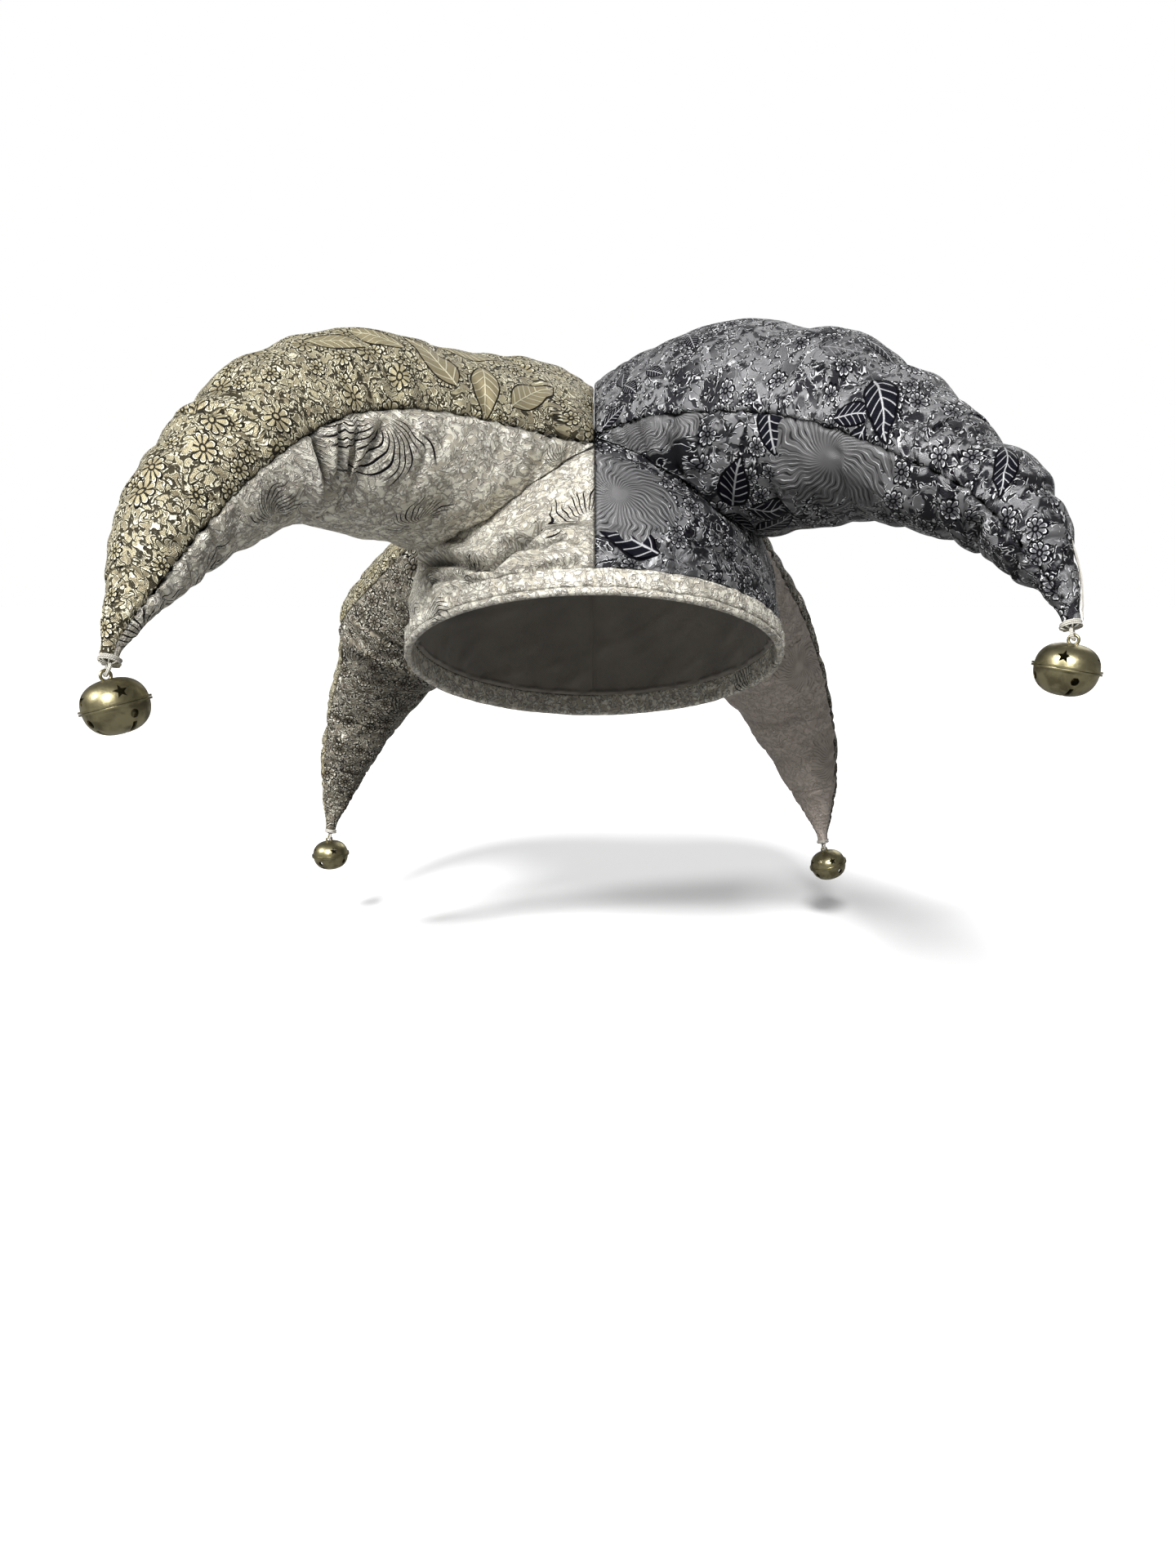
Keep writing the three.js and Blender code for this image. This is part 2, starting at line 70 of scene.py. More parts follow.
# Bells
BELL_RADIUS = 0.0125
BELL_TOP_HEIGHT = 0.0094
BELL_BASE_HEIGHT = 0.0102
BELL_WALL = 0.0007
FLANGE_WIDTH = 0.0009
FLANGE_THICKNESS = 0.0008
STAR_RADIUS = 0.0027
STAR_WAIST = 0.42
STAR_FROM_AXIS = 0.0112
STAR_LEVEL = 0.47
STAR_TILT = 12
SLOT_WIDTH = 0.0015
SLOT_HOLE_RADIUS = 0.0015
PELLET_RADIUS = 0.003
LUG_DIAMETER = 0.0048
LUG_WIRE = 0.0012
LUG_SEAT = BELL_TOP_HEIGHT - LUG_WIRE

# Sewing thread
TIE_THICKNESS = 0.0015
TIE_LOOP = 0.006
STITCH_ROWS = ((0.0056, 0.0028), (BAND_HEIGHT - 0.0018, 0.003))

# Space kept between pieces that are fixed together
GAP = 0.0003

# Camera: its place, how far it looks down in degrees, and its lens in millimetres
CAMERA_PLACE = (-0.003, -0.577, 0.051)
CAMERA_DOWN = 11
CAMERA_LENS = 26.06

# Lights: name, place, width in degrees, strength
LIGHTS = (
    ("key", (-0.2, -1.1, 0.85), 12, 4.5),
    ("side", (-1.1, -0.45, 0.85), 16, 2.7),
    ("rim", (0.6, 1.2, 0.9), 40, 0.5),
)
FLOOR = -0.2

# Sections of each horn from the cap's axis to its tip, as shares of the sizes above:
# out, up, wide, crown, belly, and full (1 for a lens-shaped section, 0.5 for an oval one)
SECTIONS = {
    "front_left": [
        (-0.04, 0.92, 0.95, 0.98, 0.74, 0.95),
        (0.16, 0.91, 1.0, 1.0, 0.74, 0.95),
        (0.32, 0.82, 0.95, 0.96, 0.66, 0.8),
        (0.48, 0.78, 0.84, 0.8, 0.62, 0.65),
        (0.6, 0.73, 0.72, 0.75, 0.63, 0.5),
        (0.72, 0.59, 0.62, 0.62, 0.5, 0.5),
        (0.82, 0.32, 0.52, 0.5, 0.37, 0.5),
        (0.9, 0.01, 0.39, 0.38, 0.25, 0.5),
        (0.95, -0.26, 0.26, 0.22, 0.15, 0.5),
        (0.98, -0.43, 0.13, 0.11, 0.1, 0.5),
        (0.99, -0.52, 0.06, 0.06, 0.06, 0.5),
        (0.993, -0.57, 0.055, 0.055, 0.055, 0.5),
    ],
    "front_right": [
        (-0.04, 0.92, 0.95, 0.98, 0.74, 0.95),
        (0.16, 0.93, 1.0, 1.06, 0.76, 0.95),
        (0.32, 0.94, 0.95, 1.05, 0.7, 0.8),
        (0.45, 0.88, 0.82, 0.95, 0.6, 0.65),
        (0.56, 0.78, 0.72, 0.8, 0.52, 0.55),
        (0.66, 0.63, 0.62, 0.64, 0.38, 0.5),
        (0.76, 0.43, 0.52, 0.49, 0.31, 0.5),
        (0.85, 0.23, 0.42, 0.36, 0.27, 0.5),
        (0.91, -0.03, 0.28, 0.21, 0.17, 0.5),
        (0.94, -0.2, 0.14, 0.11, 0.1, 0.5),
        (0.95, -0.3, 0.06, 0.06, 0.06, 0.5),
        (0.952, -0.35, 0.055, 0.055, 0.055, 0.5),
    ],
    "back_left": [
        (-0.04, 0.92, 0.95, 0.98, 0.74, 0.95),
        (0.16, 0.91, 1.0, 1.0, 0.74, 0.95),
        (0.34, 0.9, 0.94, 0.82, 0.74, 0.8),
        (0.54, 0.82, 0.86, 0.72, 0.68, 0.6),
        (0.72, 0.68, 0.84, 0.62, 0.52, 0.5),
        (0.84, 0.5, 0.58, 0.52, 0.36, 0.5),
        (0.97, 0.22, 0.43, 0.4, 0.26, 0.5),
        (1.06, -0.1, 0.28, 0.27, 0.18, 0.5),
        (1.12, -0.4, 0.13, 0.13, 0.12, 0.5),
        (1.135, -0.53, 0.06, 0.06, 0.06, 0.5),
        (1.14, -0.58, 0.055, 0.055, 0.055, 0.5),
    ],
    "back_right": [
        (-0.04, 0.92, 0.95, 0.98, 0.74, 0.95),
        (0.16, 0.91, 1.0, 1.0, 0.74, 0.95),
        (0.34, 0.9, 0.92, 0.78, 0.74, 0.8),
        (0.52, 0.81, 0.78, 0.62, 0.72, 0.6),
        (0.68, 0.66, 0.68, 0.52, 0.6, 0.5),
        (0.83, 0.42, 0.56, 0.46, 0.5, 0.5),
        (0.95, 0.1, 0.43, 0.36, 0.36, 0.5),
        (1.03, -0.24, 0.28, 0.25, 0.24, 0.5),
        (1.07, -0.49, 0.13, 0.13, 0.12, 0.5),
        (1.08, -0.61, 0.06, 0.06, 0.06, 0.5),
        (1.085, -0.66, 0.055, 0.055, 0.055, 0.5),
    ],
}

# heading in degrees anticlockwise from +X; lean, swing and twist are how the bell hangs
HORNS = {
    "front_left": {"heading": 225.8, "lean": -14, "swing": 40, "twist": 12,
                   "top": "gold_brocade", "under": "silver_brocade"},
    "front_right": {"heading": 318.7, "lean": 9, "swing": -33, "twist": 30,
                    "top": "pewter_brocade", "under": "pewter_brocade"},
    "back_left": {"heading": 129.9, "lean": -3, "swing": 26, "twist": 37,
                  "top": "gold_brocade", "under": "bronze_brocade"},
    "back_right": {"heading": 53.7, "lean": -17, "swing": 10, "twist": 20,
                   "top": "bronze_brocade", "under": "taupe_brocade"},
}

# Folds of the stuffed panels: row in the horn's table, slant (rows gained from one end of the fold to the
# other), the stretch of the section from one side seam (0) to the other (1), depth and width in millimetres,
# and lobe, how far the cloth swells beside the fold (towards the tip if above 0)
FOLD_COLUMNS = ("horn", "part", "row", "slant", "from", "to", "depth", "width", "lobe")
FOLDS = [
    ("front_left", "under", 5.5, 0.1, -0.01, 0.5, 11.0, 2.4, 0.4),
    ("front_left", "under", 5.25, 0.35, 0.0, 0.44, 5.5, 2.0, 0.2),
    ("front_left", "under", 5.0, 0.5, 0.0, 0.38, 4.4, 2.0, 0.2),
    ("front_left", "under", 4.7, 0.65, 0.0, 0.34, 2.4, 2.6, 0.3),
    ("front_left", "under", 3.1, -0.3, 0.15, 0.7, 1.6, 5.0, 0.2),
    ("front_left", "top", 4.95, 0.0, 0.3, 0.98, 2.0, 6.0, 0.3),
    ("front_left", "top", 5.65, 0.1, 0.2, 0.95, 2.6, 6.0, 0.3),
    ("front_left", "top", 6.3, 0.0, 0.3, 0.95, 1.0, 4.5, 0.3),
    ("front_right", "under", 2.3, 0.4, 0.55, 1.1, 3.4, 4.0, -0.3),
    ("front_right", "under", 2.9, 0.3, 0.45, 0.85, 2.2, 4.0, -0.3),
    ("front_right", "under", 3.7, 0.2, 0.4, 0.8, 3.0, 3.4, 0.3),
    ("front_right", "under", 4.4, 0.1, 0.3, 0.7, 2.0, 4.0, 0.3),
    ("front_right", "under", 5.6, 0.0, 0.3, 0.75, 2.2, 4.0, 0.3),
    ("front_right", "under", 6.5, 0.0, 0.25, 0.8, 2.4, 3.6, 0.3),
    ("front_right", "under", 7.3, 0.2, 0.3, 1.1, 3.6, 3.0, -0.3),
    ("front_right", "top", 3.35, 0.0, 0.2, 0.9, 2.6, 8.0, 0.3),
    ("front_right", "top", 4.75, 0.0, 0.2, 0.9, 3.0, 6.0, 0.2),
    ("front_right", "top", 5.6, 0.0, 0.1, 0.8, 1.6, 5.0, 0.2),
    ("front_right", "top", 6.6, 0.0, 0.1, 0.85, 2.6, 5.0, 0.3),
    ("front_right", "top", 7.4, 0.0, 0.1, 0.85, 1.6, 4.0, 0.3),
    ("back_left", "under", 4.1, -0.55, -0.01, 0.62, 11.0, 2.6, -0.45),
    ("back_left", "under", 3.55, -0.4, 0.05, 0.45, 3.5, 2.0, 0.0),
    ("back_left", "under", 6.2, 0.1, 0.0, 0.7, 1.6, 5.0, 0.2),
    ("back_left", "top", 4.5, 0.0, -0.1, 0.5, 6.0, 5.0, 0.3),
    ("back_left", "top", 6.4, 0.0, 0.0, 0.8, 2.4, 6.0, 0.3),
    ("back_right", "under", 5.4, 0.1, 0.1, 1.0, 2.6, 6.0, 0.3),
    ("back_right", "under", 6.3, -0.1, 0.1, 0.9, 1.8, 5.0, 0.3),
    ("back_right", "under", 4.1, 0.2, 0.3, 1.0, 1.8, 5.0, 0.3),
    ("back_right", "top", 4.6, 0.1, 0.1, 0.9, 2.4, 6.0, 0.3),
    ("back_right", "top", 6.0, 0.1, 0.1, 0.9, 2.0, 6.0, 0.3),
]

# Flowers and leaves drawn at chosen places of the cloths: at is the row in the horn's table, or degrees round
# the cap; over is the place from one side seam (0) to the other (1), or millimetres above the opening;
# turn is in degrees on the flat cloth and size is the motif's cell in millimetres
ORNAMENT_COLUMNS = ("piece", "kind", "at", "over", "turn", "size")
ORNAMENTS = [
    ("front_left_horn_under", "spray", 4.55, 0.02, 180, 62),
    ("front_left_horn_under", "spray", 3.2, 0.42, 60, 40),
    ("front_left_horn_under", "spray", 1.9, 0.12, 90, 18),
    ("front_left_horn_under", "spray", 6.2, 0.3, 0, 34),
    ("crown_front_left", "spray", 269.0, 36, 180, 46),
    ("crown_front_left", "spray", 233.0, 19, 80, 26),
    ("crown_front_left", "spray", 213.0, 24, 30, 30),
    ("front_right_horn_top", "leaf", 5.3, 0.86, 60, 40),
    ("front_right_horn_top", "leaf", 5.1, 0.93, 120, 26),
    ("front_right_horn_top", "leaf", 4.5, 0.6, 100, 24),
    ("front_right_horn_top", "leaf", 2.7, 0.6, 95, 28),
    ("front_right_horn_top", "leaf", 3.0, 0.62, 10, 26),
    ("front_right_horn_top", "leaf", 2.25, 0.74, 40, 18),
    ("front_right_horn_top", "leaf", 2.0, 0.82, 70, 18),
    ("front_right_horn_top", "leaf", 1.75, 0.84, 50, 20),
    ("front_right_horn_top", "leaf", 1.6, 0.92, 120, 20),
    ("front_right_horn_top", "leaf", 1.55, 0.78, 20, 20),
    ("front_right_horn_top", "leaf", 7.1, 0.8, 60, 28),
    ("front_right_horn_under", "leaf", 3.9, 0.93, 10, 30),
    ("front_right_horn_under", "leaf", 3.1, 0.7, 150, 36),
    ("front_right_horn_under", "leaf", 3.6, 0.58, 60, 32),
    ("front_right_horn_under", "leaf", 3.3, 0.5, 100, 30),
    ("front_right_horn_under", "bloom", 4.9, 0.84, 0, 74),
    ("front_right_horn_under", "bloom", 2.2, 0.93, 0, 34),
    ("crown_front_right", "leaf", 278.0, 27, 150, 40),
    ("crown_front_right", "bloom", 276.5, 48, 0, 66),
    ("front_left_horn_top", "leaf", 3.5, 0.2, 20, 44),
    ("front_left_horn_top", "leaf", 2.9, 0.12, 160, 40),
    ("front_left_horn_top", "leaf", 2.8, 0.3, 250, 38),
    ("front_left_horn_top", "leaf", 2.3, 0.16, 300, 36),
]


# Camera and studio

def seen_or_lit(tree, lit, seen):
    """One value for what the camera sees, and another for the light that comes back from it."""
    ray = tree.nodes.new("ShaderNodeLightPath")
    level = tree.nodes.new("ShaderNodeMapRange")
    level.inputs["To Min"].default_value = lit
    level.inputs["To Max"].default_value = seen
    tree.links.new(ray.outputs["Is Camera Ray"], level.inputs["Value"])
    return level.outputs[0]


def studio():
    scene = bpy.context.scene
    lens = bpy.data.cameras.new("view")
    lens.lens = CAMERA_LENS
    lens.sensor_width = 36
    camera = bpy.data.objects.new("view", lens)
    camera.location = CAMERA_PLACE
    camera.rotation_euler = (math.radians(90 - CAMERA_DOWN), 0, 0)
    scene.collection.objects.link(camera)
    scene.camera = camera

    scene.view_settings.view_transform = "Standard"

    world = scene.world or bpy.data.worlds.new("studio")
    scene.world = world
    world.use_nodes = True
    tree = world.node_tree
    back = tree.nodes["Background"]
    back.inputs["Color"].default_value = (1, 1, 1, 1)
    tree.links.new(seen_or_lit(tree, 0.2, 1.0), back.inputs["Strength"])

    for name, place, spread, strength in LIGHTS:
        light = bpy.data.lights.new(name, "SUN")
        light.angle = math.radians(spread)
        light.energy = strength
        lamp = bpy.data.objects.new(name, light)
        lamp.location = place
        lamp.rotation_euler = (-Vector(place)).to_track_quat("-Z", "Y").to_euler()
        scene.collection.objects.link(lamp)

    bpy.ops.mesh.primitive_plane_add(size=12, location=(0, 0, FLOOR))
    floor = bpy.context.object
    floor.name = "studio_floor"
    pale = bpy.data.materials.new("pale_floor")
    pale.use_nodes = True
    tree = pale.node_tree
    shade = tree.nodes["Principled BSDF"]
    shade.inputs["Roughness"].default_value = 0.8
    shade.inputs["Specular IOR Level"].default_value = 0.1
    tree.links.new(seen_or_lit(tree, 0.22, 0.95), shade.inputs["Base Color"])
    floor.data.materials.append(pale)


# Finishes

class Wire:
    """A value in a finish, for writing sums with the usual signs."""

    def __init__(self, finish, socket):
        self.finish = finish
        self.socket = socket

    def sum(self, kind, *values):
        return self.finish.node("ShaderNodeMath", {"operation": kind}, dict(enumerate((self, *values))))

    def __add__(self, other):
        return self.sum("ADD", other)

    __radd__ = __add__

    def __mul__(self, other):
        return self.sum("MULTIPLY", other)

    __rmul__ = __mul__

    def __sub__(self, other):
        return self.sum("SUBTRACT", other)

    def __rsub__(self, other):
        return self.sum("MULTIPLY_ADD", -1.0, other)

    def __pow__(self, other):
        return self.sum("POWER", other)

    def __neg__(self):
        return self.sum("MULTIPLY", -1.0)

    def __abs__(self):
        return self.sum("ABSOLUTE")

    def sin(self):
        return self.sum("SINE")

    def cos(self):
        return self.sum("COSINE")

    def least(self, other):
        return self.sum("MINIMUM", other)

    def most(self, other):
        return self.sum("MAXIMUM", other)

    def ramp(self, start, end, low=0.0, high=1.0):
        """low before start, high after end, smooth between them."""
        return self.finish.node("ShaderNodeMapRange", {"interpolation_type": "SMOOTHSTEP"}, {
            "Value": self, "From Min": start, "From Max": end, "To Min": low, "To Max": high})

    def line(self, half_width, soft):
        """1 where the value is near 0, as a drawn line."""
        return abs(self).ramp(half_width, half_width + soft, 1.0, 0.0)


class Finish:
    """A material made of nodes."""

    def __init__(self, material):
        self.material = material
        self.material.use_nodes = True
        self.tree = self.material.node_tree
        self.shader = self.tree.nodes["Principled BSDF"]

    def put(self, socket, value):
        if isinstance(value, Wire):
            self.tree.links.new(value.socket, socket)
        elif socket.type == "RGBA" and len(value) == 3:
            socket.default_value = (*value, 1)
        else:
            socket.default_value = value

    def node(self, kind, settings, inputs, output=0):
        node = self.tree.nodes.new(kind)
        for key, value in settings.items():
            setattr(node, key, value)
        for key, value in inputs.items():
            self.put(node.inputs[key], value)
        return Wire(self, node.outputs[output])

    def other(self, wire, output):
        """Another output of the node that a wire comes from."""
        return Wire(self, wire.socket.node.outputs[output])

    def mix(self, share, a, b):
        """Colour a, or b where share is 1."""
        node = self.tree.nodes.new("ShaderNodeMix")
        node.data_type = "RGBA"
        self.put(node.inputs[0], share)
        self.put(node.inputs[6], a)
        self.put(node.inputs[7], b)
        return Wire(self, node.outputs[2])

    def vector(self, kind, *values, output=0):
        return self.node("ShaderNodeVectorMath", {"operation": kind}, dict(enumerate(values)), output)

    def noise(self, place, scale, detail=2.0, distortion=0.0, roughness=0.5):
        return self.node("ShaderNodeTexNoise", {"noise_dimensions": "3D"}, {
            "Vector": place, "Scale": scale, "Detail": detail, "Distortion": distortion,
            "Roughness": roughness})

    def parts(self, vector):
        split = self.node("ShaderNodeSeparateXYZ", {}, {0: vector})
        return split, self.other(split, 1)

    def set(self, **values):
        for key, value in values.items():
            self.put(self.shader.inputs[key.replace("_", " ")], value)

    def bump(self, height, depth):
        self.put(self.shader.inputs["Normal"], self.node("ShaderNodeBump", {}, {
            "Height": height, "Distance": depth, "Strength": 1.0}))


def motif(finish, place, size, randomness):
    """One motif in each cell: its place from the cell's centre in cell sizes, and two numbers of its own."""
    cells = finish.node("ShaderNodeTexVoronoi", {"voronoi_dimensions": "2D", "feature": "F1"}, {
        "Vector": place, "Scale": 1 / size, "Randomness": randomness})
    centre = finish.other(cells, 2)
    chance, turn = finish.parts(finish.other(cells, 1))
    local = finish.vector("SCALE", finish.vector("SUBTRACT", place, centre))
    local.socket.node.inputs["Scale"].default_value = 1 / size
    return local, chance, turn


def daisy(finish, local, turn, line):
    """A round flower of nine petals: what it covers, its dark lines and the pale ones beside them."""
    across, up = finish.parts(local)
    away = finish.vector("LENGTH", local, output=1)
    angle = up.sum("ARCTAN2", across) + turn * 6.283
    edge = (abs((angle * 4.5).cos()) ** 0.5) * 0.2 + (0.24 - away)
    inside = edge.ramp(-0.5 * line, 0.5 * line)
    gaps = (-(angle * 9.0).cos()).ramp(0.35, 0.85) * away.ramp(0.1, 0.16) * away.ramp(0.3, 0.4, 1.0, 0.3)
    eye = (away - 0.1).line(0.4 * line, 0.7 * line)
    return inside, edge.line(0.5 * line, 0.6 * line).most(gaps * inside).most(eye), (edge - 1.6 * line).line(
        0.4 * line, 0.6 * line) * (1.0 - gaps)


def leaf(finish, local, turn, line):
    """A pointed leaf with a midrib and side veins."""
    spin = finish.node("ShaderNodeVectorRotate", {"rotation_type": "Z_AXIS"}, {
        "Vector": local, "Angle": turn * 6.283})
    along, side = finish.parts(spin)
    half = (0.17 - along * along).most(0.0) * (1.1 - along)
    edge = half - abs(side)
    inside = edge.ramp(-0.5 * line, 0.5 * line)
    veins = side.line(0.4 * line, 0.6 * line).most(
        ((along - abs(side) * 0.9) * 52.0).sin().ramp(0.72, 0.98) * 0.9) * inside
    return inside, edge.line(0.5 * line, 0.6 * line) * abs(along).ramp(0.4, 0.42, 1.0, 0.0), veins * 0.55


def bloom(finish, local, turn, line):
    """A chrysanthemum of long curved strands."""
    across, up = finish.parts(local)
    away = finish.vector("LENGTH", local, output=1)
    stray = finish.noise(local, 3.5, 2)
    angle = up.sum("ARCTAN2", across) + turn * 6.283 + away * 2.0 + stray * 1.1
    petals = abs((angle * 6.5).cos()) ** 0.6
    inside = (petals * 0.09 + stray * 0.16 - away + 0.22).ramp(0, line)
    strand = (angle * 37.0).cos()
    reach = away.ramp(0.03, 0.14) * inside * (0.35 + 0.65 * finish.noise(local, 9.0, 1).ramp(0.42, 0.55))
    return inside, strand.ramp(0.7, 0.98) * reach * 0.8, (-strand).ramp(0.82, 1.0) * reach * 0.5


def spray(finish, local, turn, line):
    """A half-opened spider chrysanthemum drawn in separate dark strokes."""
    across, up = finish.parts(local)
    away = finish.vector("LENGTH", local, output=1)
    stray = finish.noise(local, 3.0, 1)
    open_angle = up.sum("ARCTAN2", across)
    angle = open_angle + turn * 6.283 + away * 2.0 + stray * 0.9
    strand = (angle * 31.0).cos()
    uneven = (angle * 3.7).sin() * 0.07 + (angle * 9.1).cos() * 0.05
    fan = abs(open_angle + (stray - 0.5) * 1.5).ramp(1.35, 1.6, 1.0, 0.0)
    reach = away.ramp(0.06, 0.12) * (away + uneven).ramp(0.34, 0.42, 1.0, 0.0) * fan
    lines = (strand - away * 0.3).ramp(0.56, 0.8) * reach
    return lines, lines, (-strand).ramp(0.85, 1.0) * reach * 0.5


MOTIFS = {"daisy": daisy, "leaf": leaf, "bloom": bloom, "spray": spray}

# Woven cloths. The field is marbled in two shades, ground and raised: patch is the size of the spots in
# millimetres and marbled how strongly they show. Thin lines scroll over it: cell is their size in
# millimetres, sparse how much of them is left out, line their colour and scroll its strength, pale the light
# edge beside them, a pale thread that also stands as painted highlight on the raised line, and shine its
# strength. rough and metal give the yarn's gloss. dark is the motifs' line.
# motifs are scattered: kind, cell in millimetres, share of cells that have one, colour, and how filled it is.
# fills are the colours of the ornaments whose places are chosen.
BROCADES = {
    "gold_brocade": {
        "ground": (0.24, 0.205, 0.135), "raised": (0.43, 0.385, 0.255), "line": (0.03, 0.025, 0.015),
        "dark": (0.02, 0.017, 0.012), "pale": (0.95, 0.91, 0.7), "scroll": 0.95, "shine": 0.85, "cell": 4.2,
        "sparse": 0.38, "patch": 10.0, "marbled": 0.8, "rough": 0.34, "metal": 0.4,
        "fills": {"leaf": (0.27, 0.23, 0.14)},
        "motifs": [("daisy", 9.5, 0.34, (0.43, 0.38, 0.24), 0.75),
                   ("daisy", 15.0, 0.32, (0.4, 0.35, 0.22), 0.6),
                   ("leaf", 36.0, 0.22, (0.28, 0.24, 0.145), 0.9)],
    },
    "silver_brocade": {
        "ground": (0.54, 0.5, 0.41), "raised": (0.96, 0.93, 0.8), "line": (0.3, 0.27, 0.24),
        "dark": (0.006, 0.005, 0.007), "pale": (0.95, 0.93, 0.86), "scroll": 0.7, "shine": 0.75, "cell": 4.6,
        "sparse": 0.4, "patch": 6.0, "marbled": 0.9, "rough": 0.38, "metal": 0.3,
        "fills": {"spray": (0.03, 0.026, 0.03)},
        "motifs": [("spray", 48.0, 0.3, (0.03, 0.026, 0.03), 0.9)],
    },
    "pewter_brocade": {
        "ground": (0.018, 0.018, 0.021), "raised": (0.2, 0.199, 0.205), "line": (0.004, 0.004, 0.006),
        "dark": (0.003, 0.003, 0.005), "pale": (0.85, 0.85, 0.87), "scroll": 0.9, "shine": 0.9, "cell": 6.5,
        "sparse": 0.47, "patch": 11.0, "marbled": 1.0, "rough": 0.32, "metal": 0.4,
        "fills": {"leaf": (0.005, 0.005, 0.009), "bloom": (0.14, 0.138, 0.14)},
        "motifs": [("daisy", 11.0, 0.4, (0.13, 0.13, 0.14), 0.7),
                   ("leaf", 33.0, 0.16, (0.004, 0.004, 0.007), 1.0)],
    },
    "bronze_brocade": {
        "ground": (0.095, 0.082, 0.062), "raised": (0.27, 0.24, 0.185), "line": (0.012, 0.011, 0.009),
        "dark": (0.012, 0.011, 0.009), "pale": (0.8, 0.77, 0.66), "scroll": 0.85, "shine": 0.8, "cell": 4.2,
        "sparse": 0.4, "patch": 8.0, "marbled": 0.9, "rough": 0.36, "metal": 0.4, "fills": {},
        "motifs": [("daisy", 11.5, 0.55, (0.22, 0.195, 0.15), 0.6),
                   ("spray", 44.0, 0.3, (0.02, 0.018, 0.014), 0.9)],
    },
    "taupe_brocade": {
        "ground": (0.5, 0.435, 0.385), "raised": (0.62, 0.545, 0.485), "line": (0.27, 0.235, 0.205),
        "dark": (0.22, 0.19, 0.165), "pale": (0.72, 0.66, 0.58), "scroll": 0.35, "shine": 0.4, "cell": 5.0,
        "sparse": 0.42, "patch": 9.0, "marbled": 0.8, "rough": 0.3, "metal": 0.35, "fills": {},
        "motifs": [("bloom", 54.0, 0.4, (0.46, 0.405, 0.355), 0.7)],
    },
}

# Width of the motifs' lines
LINE_WIDTH = 0.0005

# Where the ornaments lie on each cloth, filled in as the pieces are cut
drawn = {}


def scrolls(finish, place, cell):
    """Distance to the nearest scrolling line, in cells."""
    bend = finish.vector("SUBTRACT", finish.other(finish.noise(place, 260, 1), 1), (0.5, 0.5, 0.5))
    bent = finish.vector("ADD", place, finish.vector("MULTIPLY", bend, (0.009, 0.009, 0.0)))
    return finish.node("ShaderNodeTexVoronoi", {"voronoi_dimensions": "2D", "feature": "DISTANCE_TO_EDGE"}, {
        "Vector": bent, "Scale": 1000 / cell, "Randomness": 1.0})


def placed(finish, flat, marks):
    """The nearest of some chosen places: the position from it in its own size, turned with it."""
    nearest = closest = None
    for (across, along), turn, size in marks:
        local = finish.node("ShaderNodeMapping", {"vector_type": "TEXTURE"}, {
            "Vector": flat, "Location": (across, along, 0), "Rotation": (0, 0, math.radians(turn)),
            "Scale": (size, size, size)})
        away = finish.vector("LENGTH", local, output=1)
        if nearest is None:
            nearest, closest = away, local
            continue
        chosen = finish.node("ShaderNodeMix", {"data_type": "VECTOR"}, {})
        mixer = chosen.socket.node
        finish.put(mixer.inputs[0], away.sum("LESS_THAN", nearest))
        finish.put(mixer.inputs[4], closest)
        finish.put(mixer.inputs[5], local)
        closest = Wire(finish, mixer.outputs[1])
        nearest = nearest.least(away)
    return closest


